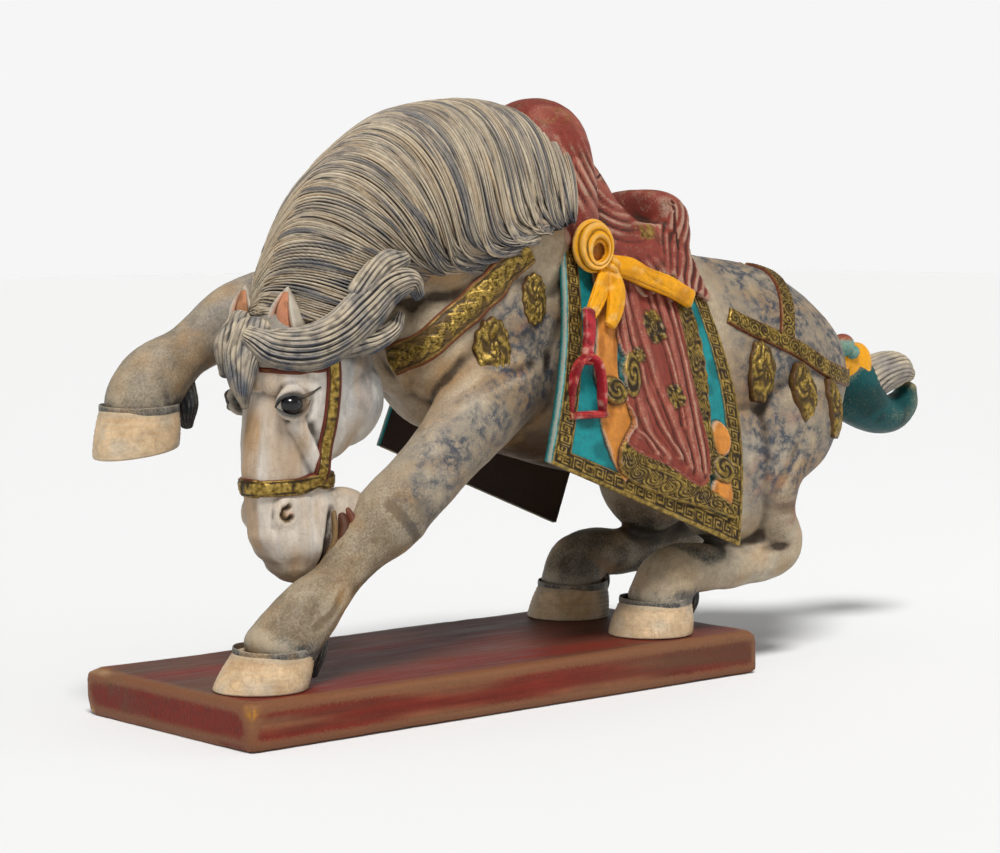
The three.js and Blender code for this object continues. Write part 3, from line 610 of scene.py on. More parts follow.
hooves = [
    {"name": "near_fore", "x": -333, "y": -90, "sole": 0, "topX": -314, "rise": 40, "slope": 0, "broad": 54},
    {"name": "raised_fore", "x": -375, "y": 90, "sole": 257, "topX": -370, "rise": 48, "slope": 0.16, "broad": 50},
    {"name": "near_hind", "x": 279, "y": -91, "sole": 0, "topX": 288, "rise": 40, "slope": 0, "broad": 54},
    {"name": "far_hind", "x": 305, "y": 91, "sole": 0, "topX": 314, "rise": 40, "slope": 0, "broad": 54},
]
for hoof in hooves:
    heights = np.concatenate([[0, 0, 0.02, 0.06], np.linspace(0.1, 1.0, 16), [1.04, 1.02]])
    inset = np.concatenate([[22, 3.0, 1.0, 0.2], np.zeros(16), [6, 20]])
    angle = np.linspace(0, 2 * np.pi, 72, endpoint=False)
    h = heights[:, None]
    radius = hoof["broad"] + (46 - hoof["broad"]) * h + 1.6 * np.sin(np.pi * np.clip(h, 0, 1)) - inset[:, None]
    radius = radius + 0.35 * np.sin(h * 44 + 0.5 * np.sin(3 * angle)) + 0.5 * np.cos(angle * 3 + 1)
    toe = 1 + 0.03 * np.cos(angle)[None]
    px = hoof["x"] + (hoof["topX"] - hoof["x"]) * h - radius * np.cos(angle) * toe
    py = hoof["y"] + radius * np.sin(angle)
    pz = hoof["sole"] + hoof["rise"] * h + (px - hoof["x"]) * hoof["slope"] * (1 - h)
    rings = np.stack([px, py, pz], -1)
    points, faces = closeForm(rings, rings[0].mean(0), rings[-1].mean(0))
    piece = addPiece("hoof_" + hoof["name"], points, faces)
    hoofPaintAndShade = tint(flood(points, "hoof"), "coatPale", 0.5 * ease(0, 1, ripple(points, 16, 21)))
    hoofPaintAndShade = tint(hoofPaintAndShade, "#8A6F52", 0.55 * ease(0.75, 1.02, np.append(np.repeat(heights, 72), [0, 1])))
    # the far hind hoof painted dark except at the toe: painted shadow of the near leg and cloth
    if hoof["name"] == "far_hind":
        hoofPaintAndShade = tint(hoofPaintAndShade, "dark", 0.75 * ease(300, 330, points[:, 0]))
    dress(piece, "coat", hoofPaintAndShade, span=(4, 0.8))
    # the skin's dark edge over the horn
    turn = np.linspace(0, 2 * np.pi, 73)
    ringX = hoof["topX"] - 45.5 * np.cos(turn)
    top = hoof["sole"] + hoof["rise"] + 1 + 1.2 * np.sin(turn * 2)
    ring = np.stack([ringX, hoof["y"] + 45.5 * np.sin(turn), top], 1)
    tube = np.linspace(0, 2 * np.pi, 12, endpoint=False)
    out = unitVectors(ring - (hoof["topX"], hoof["y"], 0) - [(0, 0, 1)] * ring[:, 2:])
    band = (ring[:-1, None] + out[:-1, None] * (1.1 * np.cos(tube))[None, :, None]
            + np.array([0, 0, 1]) * (5.2 * np.sin(tube))[None, :, None])
    piece = addPiece("coronet_" + hoof["name"], band.reshape(-1, 3), loopFaces(len(band), 12))
    worn = tint(flood(band.reshape(-1, 3), "coronet"), "coatGrey",
                0.7 * ease(0.1, 0.9, ripple(band.reshape(-1, 3), 9, 22, 12)))
    dress(piece, "coat", worn, span=(3, 0.6))
print("hooves")

# Head: square skull, flat nasal bone, round jaw, open mouth

head = {
    "voxel": 2.5,
    "skull": [(-212, -28, 432, 40, 56), (-226, -36, 362, 55, 85), (-234, -37, 308, 52, 76), (-256, -40, 262, 40, 56),
              (-260, -45, 212, 34, 52), (-251, -48, 180, 40, 59), (-246, -51, 150, 40, 52), (-244, -52, 126, 30, 34)],
    "jaw": (-185, -37, 318, 58, 58, 60),
    "eyeNear": (-284, -84, 317), "eyeFar": (-284, 10, 317),
}
headForms = [sweepForm(head["skull"], square=2.6, sides=48, steps=12), ballForm(*head["jaw"], 28, 40)]
headForms += [ballForm(-280, yy, 318, 24, 9, 20) for yy in (10, -84)]                        # brows
headForms += [ballForm(-272, yy, 190, 30, wide, 28) for yy, wide in ((-15, 12), (-77, 9))]   # nostril wings
headForms += [ballForm(-195, -60, 186, 38, 32, 30), ballForm(-222, -52, 196, 26, 30, 26)]    # chin and lower lip
headForms += [sweepForm([(-272, yy, 296, 12, 12), (-252, yy, 262, 12, 11), (-240, yy, 236, 10, 9)]) for yy in (0, -78)]
headForms += [ballForm(-262, -51, 134, 26, 34, 20)]                                  # upper lip
skull = voxelSkin("head", headForms, head["voxel"])
points, edges = readPoints(skull), edgesOf(skull)
points = relax(points, edges, 10)
points = relax(points, edges, 44, ease(226, 204, points[:, 2]))
points = relax(points, edges, 30, np.sqrt(np.maximum(nearSpot(points, (-282, -84, 318), (50, 40, 50)),
                                                     nearSpot(points, (-282, 10, 318), (50, 40, 50)))))
writePoints(skull, points)
normals = readPoints(skull, "normal")
mouthLine = smoothLine([(-226, -92, 196), (-230, -90, 176), (-236, -88, 154), (-240, -80, 134)], 8)
mouthFar = mouthLine * (1, -1, 1) + (0, -100, 0)


def laidOn(surface, line):
    # moves a line's points to the nearest points of the surface
    return np.array([surface[np.argmin(((surface - p) ** 2).sum(1))] for p in smoothLine(line, 6)])


nostril = laidOn(points, [(-287, -92, 202), (-294, -91, 199), (-297, -91, 193), (-294, -92, 187), (-288, -93, 186),
                          (-285, -93, 190)])
nostrilFar = laidOn(points, [(-288, -8, 202), (-295, -8, 197), (-296, -8, 190), (-290, -8, 185)])
for line, radius, depth in (
        (mouthLine, 9, 12), (mouthFar, 8, 7), (nostril, 4.2, 5.5), (nostrilFar, 4.2, 4.5),
        (smoothLine([(-306, -60, 352), (-308, -57, 300), (-309, -58, 250)], 6), 9, 1.6),       # beside the nasal bone
        (smoothLine([(-306, -24, 352), (-308, -25, 300), (-309, -24, 250)], 6), 9, 1.6),
        (smoothLine([(-300, -86, 294), (-280, -94, 292), (-258, -92, 300)], 6), 9, 2.2),       # under the eye
        (smoothLine([(-252, -90, 290), (-236, -86, 262), (-226, -80, 240)], 6), 14, 3.0),      # before the jaw
        (smoothLine([(-262, -96, 350), (-240, -97, 330), (-236, -97, 300)], 6), 14, 2.4),
        (smoothLine([(-300, -84, 214), (-268, -92, 212), (-240, -88, 210)], 6), 8, 1.4)):      # above the nostril
    points = points - normals * (depth * nearLine(points, line, radius))[:, None]
nostrilShade = nearLine(points + normals * 3, nostril, 5.5)
for spot, radii, lift in (((-288, -90, 209), (18, 14, 6), 1.2), ((-284, -92, 336), (26, 16, 9), 1.6)):
    points = points + normals * (lift * nearSpot(points, spot, radii))[:, None]
points = points + normals * (0.35 * ripple(points, 22, 13) + 0.15 * ripple(points, 8, 14))[:, None]
points = relax(points, edges, 1)
writePoints(skull, points)
normals = readPoints(skull, "normal")
x, y, z = points.T
paint = flood(points, "face")
streak = ripple(points * (1, 1, 0.25), 20, 15)
front = ease(-298, -306, x + 0.02 * (z - 200)) * ease(-24, -30, y) * ease(-60, -52, y)
paint = tint(paint, "coatWarm", np.clip(0.62 * front + 0.3 * ease(0.2, 0.9, streak), 0, 0.8))
paint = tint(paint, "coatGrey", 0.35 * ease(0.1, 0.9, ripple(points, 30, 16)) * ease(200, 150, z))
# the mouth's gap painted near black: painted shade in the opening
mouthGapShade = np.clip(nearLine(points, mouthLine, 12) * 2.6 + nearLine(points, mouthFar, 10) * 2, 0, 1)
paint = tint(paint, "mouth", mouthGapShade)
paint = tint(paint, "#7A6A56", 0.5 * nearLine(points, nostril, 11))
paint = tint(paint, "#BE7C60", np.clip(2 * nearSpot(points, nostril[len(nostril) // 2] + (7, 0, 2), (7, 10, 7)), 0,
                                       0.8))
# near black inside the nostrils: painted shade in the holes
paint = tint(paint, "#1E1612", np.clip(2.2 * nostrilShade, 0, 0.92))
paint = tint(paint, "#1E1612", np.clip(2.0 * nearLine(points, nostrilFar, 6.0), 0, 0.85))
# paler jaw, darker brown under the muzzle that is partly brown paint and partly painted shade, and grey paint on the
# poll
paint = tint(paint, "#B4B3AF", 0.5 * nearSpot(points, (-172, -90, 330), (64, 60, 76)) ** 0.5)
paint = tint(paint, "#6A5337", 0.8 * ease(172, 124, z + 0.15 * (x + 270)) * ease(-1.6, 0.2, ripple(points, 26, 17)))
paint = tint(paint, "#9A8468", 0.5 * ease(-235, -215, x) * ease(232, 216, z))    # the chin
paint = tint(paint, "#7F786C", 0.95 * ease(370, 380, z + 0.35 * (x + 240)))
rim = np.sqrt(np.maximum(nearSpot(points, (-284, -86, 317), (32, 24, 24)),
                         nearSpot(points, (-284, 12, 317), (32, 24, 24))))
paint = tint(paint, "#6A5A48", 0.55 * rim)
paint = tint(paint, "#3A3028", 0.85 * ease(0.45, 0.66, rim))
dapple = nearSpot(points, (-170, -90, 340), (60, 50, 70)) * 1.3
dress(skull, "face", paint, dapple=np.clip(dapple, 0, 0.55), span=(8, 1.0))
skullTree = treeOf(points, skull)
print("head", len(points), "points")


def dropOn(trees, spots, aim, reach=60):
    # lays points on the nearest surface that a ray along aim meets
    out, ups = [], []
    for spot, way in zip(spots, np.broadcast_to(aim, np.shape(spots))):
        found = None
        for tree in trees:
            hit, normal, _, far = tree.ray_cast(Vector(spot - way * reach), Vector(way), reach * 2)
            if hit and (found is None or far < found[2]):
                found = (np.array(hit), np.array(normal), far)
        if found is None:
            found = min(((np.array(h), np.array(n), f) for h, n, _, f in (t.find_nearest(Vector(spot)) for t in trees)),
                        key=lambda item: item[2])
        out.append(found[0])
        ups.append(found[1])
    return np.array(out), np.array(ups)


def smoothRows(values, times):
    for _ in range(times):
        values = np.vstack([values[:1], (values[:-2] + 2 * values[1:-1] + values[2:]) / 4, values[-1:]])
    return values


def strapForm(trees, line, halfWidth, thick, relief=None, step=1.5, sink=3.0, settle=6, face=None):
    # a flat band with rounded edges that follows a line over the carving and looks towards face
    path = evenLine(line, step)
    if face is None:
        centre, up = nearestOn(trees, path)
    else:
        settle = 60
        face = unitVectors(np.array(face, float))
        centre, up = dropOn(trees, path, -face)
        up = unitVectors(up * 0.15 + face)
    centre, up = smoothRows(centre, settle), unitVectors(smoothRows(up, settle * 2))
    along = unitVectors(np.gradient(centre, axis=0))
    side = unitVectors(np.cross(along, up))
    columns = max(7, int(2 * halfWidth / step) | 1)
    w = np.linspace(-1, 1, columns)
    spots = centre[:, None] + side[:, None] * (w * halfWidth)[None, :, None]
    aims = np.repeat(-up, columns, 0)
    base, _ = dropOn(trees, spots.reshape(-1, 3), aims, 16)
    base = base.reshape(spots.shape)
    lift = ((base - spots) * up[:, None]).sum(-1)
    lift = np.clip(lift, -9, 12)
    if settle > 12:
        high = np.clip(lift, -4, 12)
        lift = high * 0.3 + high.max(1, keepdims=True) * 0.7
    for _ in range(max(10, settle)):
        lift = np.vstack([lift[:1], (lift[:-2] + lift[1:-1] * 2 + lift[2:]) / 4, lift[-1:]])
    run = np.concatenate([[0], np.cumsum(np.linalg.norm(np.diff(centre, axis=0), axis=1))])
    s, cross = np.meshgrid(run, w, indexing="ij")
    body = thick * (1 - np.abs(cross) ** 10 * 0.8)
    marks = np.zeros_like(s) if relief is None else relief(s, cross, halfWidth)
    end = np.clip(np.minimum(s, run[-1] - s) / 2.5, 0, 1) ** 0.5
    top = spots + up[:, None] * (lift + (body + marks) * (0.3 + 0.7 * end))[..., None]
    bottom = spots + up[:, None] * (lift - sink)[..., None]
    points, faces = slabForm(top, bottom)
    return points, faces, np.append(marks.ravel(), marks.ravel() * 0), np.append(cross.ravel(), cross.ravel())


def nearestOn(trees, spots):
    out, ups = [], []
    for spot in spots:
        best = min((t.find_nearest(Vector(spot)) for t in trees), key=lambda item: item[3])
        out.append(np.array(best[0]))
        ups.append(np.array(best[1]))
    return np.array(out), np.array(ups)


def scrollMarks(s, w, halfWidth, pitch=17.0, height=1.3):
    # curling tendrils, one curl a pitch, turned over each time
    cell = np.floor(s / pitch)
    sign = np.where(cell % 2 == 0, 1.0, -1.0)
    px = s - (cell + 0.5) * pitch
    py = w * halfWidth - sign * 0.12 * halfWidth
    r, turn = np.hypot(px, py), np.arctan2(py * sign, px)
    curl = 0.5 + 0.5 * np.sin(r * 2 * np.pi / 4.6 - turn)
    rails = ease(0.76, 0.86, np.abs(w)) * ease(1.02, 0.93, np.abs(w))
    return height * np.maximum(curl * ease(0.84, 0.7, np.abs(w)), rails)


def meanderMarks(s, w, halfWidth, pitch=15.0, height=1.3):
    # squared key ornament between two rails
    px = (s / pitch) % 1
    py = (w + 1) / 2
    flip = (np.floor(s / pitch) % 2) == 1
    py = np.where(flip, 1 - py, py)
    lines = [(0.02, 0.14, 0.16, 0.84), (0.02, 0.92, 0.74, 0.86), (0.80, 0.92, 0.32, 0.86), (0.30, 0.92, 0.28, 0.40),
             (0.28, 0.40, 0.28, 0.62), (0.40, 0.66, 0.52, 0.62)]
    raised = np.zeros_like(s)
    for x0, x1, y0, y1 in lines:
        far = np.minimum(np.minimum(px - x0, x1 - px) * pitch, np.minimum(py - y0, y1 - py) * 2 * halfWidth)
        raised = np.maximum(raised, ease(-0.5, 0.5, far))
    rails = ease(0.80, 0.88, np.abs(w)) * ease(1.0, 0.95, np.abs(w))
    return height * np.maximum(raised, rails)


def braidMarks(s, w, halfWidth, height=3.4):
    # three plaited strands of four cords each, laid over one another in turn, between plain rails
    turn = 2 * np.pi * s / 62
    body = np.zeros_like(s)
    for k in range(3):
        phase = turn + 2 * np.pi * k / 3
        off = w - 0.40 * np.sin(phase)
        over = 0.72 + 0.28 * np.sin(2 * phase + 0.8)
        cords = 0.55 + 0.45 * np.abs(np.cos((off * halfWidth - 0.25 * s) * 0.95))
        body = np.maximum(body, over * ease(0.30, 0.20, np.abs(off)) * cords)
    rails = 0.5 * ease(0.78, 0.84, np.abs(w))
    return height * np.maximum(body * ease(0.82, 0.72, np.abs(w)), rails)


# Eyes: black lacquered balls under carved lids

def eyeLine(centre, side, offsets):
    # offsets across the cheek and up, in mm, laid on the head
    out = np.array([-0.60, 0.80 * side, 0.05])
    right = np.array([0.80, 0.60 * side, 0.0])
    spots = np.array([np.array(centre) + right * a + np.array([0, 0, 1.0]) * b for a, b in offsets])
    return dropOn([skullTree], spots, -out, 40)


for tag, centre, side in (("near", head["eyeNear"], -1), ("far", head["eyeFar"], 1)):
    middle, up = eyeLine(centre, side, [(0, 0)])
    middle = middle[0] - np.array([-0.60, 0.80 * side, 0]) * 6.5
    ball = ballForm(*middle, 14.5, 14, 11.5, 24, 36)
    piece = addPiece("eye_" + tag, ball[0], ball[1])
    dress(piece, "eye", linear("#0B0B0D"), hollow=0.0)
    for name, offsets, wide in (
            ("upper_lid", [(-16, -3), (-11, 6), (0, 10), (12, 8), (23, 12), (34, 19)], 2.7),
            ("lower_lid", [(-16, -3), (-9, -9), (2, -12), (13, -9), (19, -3), (22, 4)], 2.0)):
        spots, ups = eyeLine(centre, side, offsets)
        stations = [(*(p + u * 0.6), wide * k, wide * 0.9 * k) for p, u,
                    k in zip(spots, ups, (0.5, 1, 1.15, 1.1, 0.8, 0.35))]
        form = sweepForm(stations, 14, 10)
        piece = addPiece(name + "_" + tag, form[0], form[1])
        shade = ease(-0.2, 0.7, readPoints(piece, "normal")[:, 2] * (-1 if name[0] == "u" else 1))
        lidTone = 0.75 + 0.25 * shade if name[0] == "u" else 0.35 + 0.5 * shade
        dress(piece, "face", tint(flood(form[0], "coatGrey"), "black", lidTone), hollow=0.2)

# Mouth: tongue, fold of lip and teeth seen in the gap
for name, stations, colour in (
        ("tongue", [(-212, -84, 186, 6, 6), (-213, -91, 172, 8, 7), (-219, -95, 158, 7, 7), (-230, -92, 142, 4, 4)],
         "#5A3626"),
        ("lip_fold", [(-206, -86, 192, 5, 4), (-204, -95, 180, 6, 5), (-208, -100, 168, 6, 5),
                      (-216, -100, 158, 3, 3)], "#74402E"),
        ("teeth", [(-222, -82, 190, 4, 3), (-225, -89, 174, 4, 3), (-229, -92, 158, 4, 3), (-235, -88, 144, 2.5, 2)],
         "#836845")):
    form = sweepForm(stations, 20, 8)
    piece = addPiece(name, form[0], form[1])
    dress(piece, "cloth", linear(colour), hollow=0.35, span=(4, 0.6))


# Ears: a leaf-shaped cone with an open, orange-pink front

ears = {"near": (-58, -2), "far": (10, 4)}
for tag, (yy, lean) in ears.items():
    stations = [(-254, yy, 374, 20, 20), (-266, yy + lean * 0.6, 390, 24, 24), (-271, yy + lean, 406, 23, 23),
                (-273, yy + lean * 1.6, 422, 18, 18), (-272, yy + lean * 2, 436, 10, 10),
                (-270, yy + lean * 2.2, 447, 2, 2.4)]
    centre, along, across, deep, girth = spine(stations, 10)
    angle = np.linspace(0, 2 * np.pi, 72, endpoint=False)
    # the opening looks forwards and a little towards the near side
    forward = 1 if deep[5][0] < 0 else -1
    gap = np.abs((angle - forward * (np.pi / 2 + 0.3) + np.pi) % (2 * np.pi) - np.pi)
    run = np.linspace(0, 1, len(centre))[:, None]
    cup = ease(1.02, 0.8, gap)[None] * ease(0.1, 0.22, run) * ease(0.97, 0.86, run)
    rings = centre[:, None] + across[:, None] * (girth[:, :1] * np.cos(angle) * (1 - 0.34 * cup))[..., None] \
        + deep[:, None] * (girth[:, 1:] * np.sin(angle) * (1 - 0.5 * cup))[..., None]
    points, faces = closeForm(rings, centre[0] - along[0] * 4, centre[-1] + along[-1] * 1.5)
    piece = addPiece("ear_" + tag, points, faces)
    mark = np.append(cup.ravel(), [0, 0])
    paint = tint(flood(points, "coatPale"), "earInside", ease(0.3, 0.7, mark))
    paint = tint(paint, "#8C5E42", 0.7 * ease(0.2, 0.9, ripple(points, 7, 18, 14)) * mark)
    paint = tint(paint, "coatGrey", 0.5 * ease(0.1, 0.9, ripple(points, 14, 19)) * (1 - mark))
    dress(piece, "face", paint, span=(4, 0.8))
print("face details")

# Mane: a thick combed shell over the crest, with gouged grooves that flow in S-shaped lines to a scalloped hem

mane = {"columns": 820, "rows": 88, "grooves": 74, "pitch": 4.9, "locks": 15, "depth": 3.1, "roll": 8, "fan": 0.62,
        "hemAt": (0.0, 0.2, 0.4, 0.6, 0.75, 0.9, 1.0), "hemTurn": (2.4, 2.4, 2.35, 2.22, 1.95, 1.52, 1.32)}


def maneForm():
    stations = [(x, y, z, w + 18, d + 8) for x, y, z, w, d in horse["crest"]]
    centre, along, across, deep, girth = spine(stations, 60)
    knots = np.linspace(0, 1, len(centre))

    def frameAt(t):
        pick = lambda a: np.stack([np.interp(t, knots, a[:, k]) for k in range(a.shape[1])], -1)
        return pick(centre), unitVectors(pick(across)), unitVectors(pick(deep)), pick(girth)

    # columns lie close together where the locks fan out at the brow
    keep = 1 - mane["fan"]
    fineStart = np.linspace(0, 1, 4000) ** 3
    measure = fineStart * 560 + fineStart ** keep * 420
    start = np.interp(np.linspace(0, measure[-1], mane["columns"]), measure, fineStart)
    ridgeC, _, ridgeD, ridgeG = frameAt(0.04 + 0.96 * start)
    ridge = ridgeC + ridgeD * ridgeG[:, 1:]
    arc = np.concatenate([[0], np.cumsum(np.linalg.norm(np.diff(ridge, axis=0), axis=1))])
    arc /= arc[-1]
    roll = mane["roll"]
    k = np.concatenate([np.linspace(-1, 1, mane["rows"]), np.ones(roll), -np.ones(roll)])
    depthIn = np.concatenate([np.zeros(mane["rows"]), np.linspace(0.1, 1, roll), np.linspace(1, 0.1, roll)])
    startG, kG = np.meshgrid(start, k, indexing="ij")
    arcG = np.repeat(arc[:, None], len(k), 1)
    inG = np.repeat(depthIn[None], len(start), 0)
    run, side = np.abs(kG), np.sign(kG)
    # along the crest at first, then steeply down, then back along the hem
    drop = 0.24 * run + 0.76 * run ** 2 * (3 - 2 * run)
    sway = run + 0.8 * np.sin(2 * np.pi * run) / (2 * np.pi)
    t = 0.04 + 0.96 * startG ** (1 - mane["fan"] * sway)
    t = 1 - (1 - t) ** (1 + 0.32 * sway)           # the strands close up towards the withers
    c, a, d, g = frameAt(t)
    lockPhase = arcG * mane["locks"] + 0.35 * np.sin(arcG * 9) + 0.22 * np.sin(arcG * 31 + 4 * run) + 0.5 * (side > 0)
    lock = 0.5 + 0.5 * np.cos(2 * np.pi * lockPhase)
    scallop = 0.05 * (lock ** 0.7 - 0.5) + 0.02 * np.sin(arcG * 61 + side) + 0.012 * np.sin(arcG * 150)
    hem = np.interp(t, mane["hemAt"], mane["hemTurn"]) * (1 + scallop * ease(0.45, 1.0, drop))
    # the parting lies a little over the far side
    parting = np.interp(t, (0, 0.3, 0.7, 1), (0.62, 0.55, 0.25, 0.1))
    angle = hem * drop * side + parting * (1 - drop)
    curl = 1 - 0.1 * drop ** 4 + 0.15 * drop ** 2 * ease(0.7, 0.95, t)
    out = unitVectors(a * (np.sin(angle) / g[..., 0])[..., None] + d * (np.cos(angle) / g[..., 1])[..., None])
    spots = (c + a * (g[..., 0] * curl * signedPower(np.sin(angle), 1.3))[..., None]
             + d * (g[..., 1] * curl * np.cos(angle))[..., None])
    # grooves keep about the same width all over: one splits in two where the locks fan out
    phase = arcG * mane["grooves"] + 0.45 * np.sin(arcG * 37 + 3 * run) + 0.25 * np.sin(arcG * 91 - 6 * run + side)
    flowWay = unitVectors(np.gradient(spots, axis=1))
    byColumn = np.gradient(spots, axis=0) / np.maximum(np.gradient(phase, axis=0), 1e-6)[..., None]
    apart = np.linalg.norm(byColumn - flowWay * (byColumn * flowWay).sum(-1, keepdims=True), axis=-1)
    level = np.clip(np.log2(np.maximum(apart, 0.5) / mane["pitch"]) + 0.5, 0, 5)
    octave = np.floor(level)
    split = ease(0.35, 0.65, level - octave)
    dice = np.random.default_rng(5)
    kinds = 997                                    # different strands before they repeat
    chances = dice.uniform(0, 1, (4, kinds))

    def gouged(phase, seed):
        which = np.floor(phase + 0.5).astype(int) % kinds
        strength = 0.3 + 0.95 * chances[seed][which] + 0.25 * np.sin(run * (3 + 6 * chances[seed - 1][which]) + which)
        wide = 0.30 + 0.32 * chances[seed - 2][which]
        near = np.abs((phase % 1) * 2 - 1)
        return ease(wide, 1.0, near) * np.clip(strength, 0.12, 1.3)

    cut = gouged(phase * 2 ** octave, 0) * (1 - split) + gouged(phase * 2 ** (octave + 1), 0) * split
    strand = gouged(phase * 2 ** (octave + 1) + 0.5, 1)
    table = dice.uniform(0, 1, (2, kinds, 24))

    def dryBrush(layer, spans):
        # a value of its own for each strand, which changes along it as a brush lifts and lands
        which = np.floor(phase * 2 ** (octave + layer) + 0.5 * (1 - layer)).astype(int) % kinds
        spot = run * spans + 3 * chances[3][which]
        cell = np.floor(spot).astype(int)
        share = ease(0, 1, spot - cell)
        return table[layer][which, cell % 24] * (1 - share) + table[layer][which, (cell + 1) % 24] * share

    tone, touch = dryBrush(0, 5), dryBrush(1, 9)
    lockCut = ease(0.6, 1.0, 1 - lock) * ease(0.25, 0.9, run)
    lift = (-mane["depth"] * cut - 0.5 * strand + 2.4 * (lock - 0.5) * (0.35 + drop) - 2.6 * lockCut ** 2
            + 1.2 * (tone - 0.5))
    lift = lift * ease(0.0, 0.02, startG + 0.004) * (1 - inG)
    # the hem rolls under towards the neck
    spots = spots + out * (lift - 15 * np.sin(inG * np.pi / 2))[..., None]
    towards = c + a * (side * g[..., 0] * 0.5)[..., None] - spots
    spots = spots + towards * (0.42 * np.clip(inG - 0.35, 0, 1) ** 1.2)[..., None]
    points, faces = closeForm(spots, spots[0].mean(0), spots[-1].mean(0))
    fill = lambda value: np.append(value.ravel(), [1, 1])
    return points, faces, {"cut": fill(cut), "strand": fill(strand), "run": fill(run), "phase": fill(phase),
                           "tone": fill(tone),
                           "touch": fill(touch), "lock": fill(lock), "rollIn": fill(inG), "side": fill(side)}


points, faces, hair = maneForm()
piece = addPiece("mane", points, faces)
lanes = np.stack([hair["phase"] * 0.4, hair["run"] * 9 + 5 * hair["side"]], 1)
broadBlue = 0.5 + 0.5 * ripple(lanes, 3.0, 31, 24)
blue = ease(0.5, 0.85, 0.55 * hair["tone"] + 0.25 * hair["touch"] + 0.3 * broadBlue)
paint = flood(points, "maneRidge")
paint = tint(paint, "#A3855F", 0.6 * ease(0.4, 0.9, hair["touch"]))
paint = tint(paint, "#6A6258", 0.65 * ease(0.55, 0.95, hair["tone"]))
paint = tint(paint, "maneBlue", blue * 0.55)
paint = tint(paint, "maneGroove", np.clip(hair["cut"] * 2.2 + 0.5 * hair["strand"], 0, 1) * 0.97)
tips = ease(0.82, 1.0, hair["run"]) * ease(-0.5, 0.4, ripple(lanes, 5, 33, 16))
paint = tint(paint, "maneTipAndShade", 0.8 * tips)
# the hem's rolled-under side painted near black: painted shade under the mane
paint = tint(paint, "#222326", 0.92 * ease(0.1, 0.7, hair["rollIn"]))
dress(piece, "mane", paint, hollow=np.clip(hair["cut"] * 1.1 + 0.3 * hair["strand"] - 0.4, -1, 1))
print("mane", len(points), "points")

# Locks: the long one laid back from the brow, its curls, the forelock, the tufts behind the hooves

locks = {
    "long_lock": ([(-318, -52, 394, 10, 12), (-300, -72, 381, 14, 22), (-262, -88, 379, 16, 27),
                   (-226, -96, 393, 18, 28),
                   (-192, -102, 420, 18, 28), (-158, -104, 446, 16, 22), (-124, -104, 452, 12, 14),
                   (-112, -104, 436, 6, 8)], 22, 0.4),
    "curl_above": ([(-196, -98, 436, 16, 20), (-160, -98, 470, 15, 20), (-128, -96, 478, 9, 10)], 16, 0.8),
    "curl_below": ([(-222, -96, 382, 14, 16), (-180, -98, 386, 15, 16), (-146, -98, 400, 10, 12),
                    (-134, -97, 414, 5, 6)], 14, 1.0),
    "forelock": ([(-296, -34, 402, 26, 16), (-316, -38, 372, 30, 15), (-322, -44, 342, 20, 12),
                  (-322, -50, 314, 4, 5)], 20, 0.5),
    "far_tuft": ([(-286, 2, 408, 16, 16), (-306, 4, 380, 18, 15), (-309, 6, 348, 7, 7)], 15, 1.2),
    "feather_near_fore": ([(-262, -96, 62, 22, 14), (-264, -96, 36, 22, 13), (-266, -96, 10, 10, 6)], 15, 0.3),
    "feather_raised": ([(-312, 90, 334, 22, 14), (-307, 90, 309, 22, 13), (-304, 90, 284, 10, 6)], 15, 0.3),
    "feather_near_hind": ([(334, -96, 60, 22, 14), (336, -96, 38, 22, 13), (338, -96, 16, 10, 6)], 15, 0.3),
    "feather_far_hind": ([(360, 96, 60, 22, 14), (362, 96, 38, 22, 13), (364, 96, 16, 10, 6)], 15, 0.3),
}
for name, (stations, grooves, twist) in locks.items():
    long = name == "long_lock"
    feather = name.startswith("feather")
    points, faces, cut = sweepForm(stations, grooves * (6 if feather else 8), 15 if long else 12, grooves=grooves,
                                   depth=2.6 if long else 2.0, twist=twist, tip=0.7)
    piece = addPiece(name, points, faces)
    paint = flood(points, "coatGrey" if feather else "maneRidge")
    # downward-facing sides painted bluer and darker: blue paint with painted shade
    low = ease(-0.35, 0.6, -readPoints(piece, "normal")[:, 2])
    paint = tint(paint, "#6A6258", 0.7 * ease(0.0, 0.8, ripple(points, 8, 42, 16)))
    paint = tint(paint, "maneBlue", np.clip((0.45 if "lock" in name[:8] else 0.3) + 0.6 * low, 0, 1)
                 * ease(-0.4, 0.6, ripple(points, 18, 41, 12)))
    paint = tint(paint, "maneTipAndShade", 0.6 * low)
    paint = tint(paint, "maneGroove", np.clip(cut ** 1.3 * 1.5, 0, 0.92))
    if feather:
        paint = tint(paint, "dark", 0.55)
    dress(piece, "mane", paint, hollow=np.clip(cut * 0.8 - 0.35, -1, 1))
print("locks")

# Saddle: red-draped pommel, seat and cantle

saddle = {
    "pommel": [(146, -84, 500, 42, 26), (152, -68, 572, 44, 28), (158, -36, 630, 48, 30), (161, 0, 645, 50, 30),
               (158, 36, 630, 48, 30), (152, 68, 572, 44, 28), (146, 84, 500, 42, 26)],
    "seat": [(140, 0, 560, 80, 84), (185, 0, 556, 72, 62), (228, 0, 520, 76, 46), (285, 0, 488, 82, 42),
             (345, 0, 478, 74, 42)],
    "cantle": (346, 0, 504, 34, 78, 58),
}
cloth = {
    "topFront": (128, 92, 506), "topRear": (366, 78, 468), "lowFront": (38, 168, 238), "lowRear": (354, 180, 114),
    "thick": 13,
}


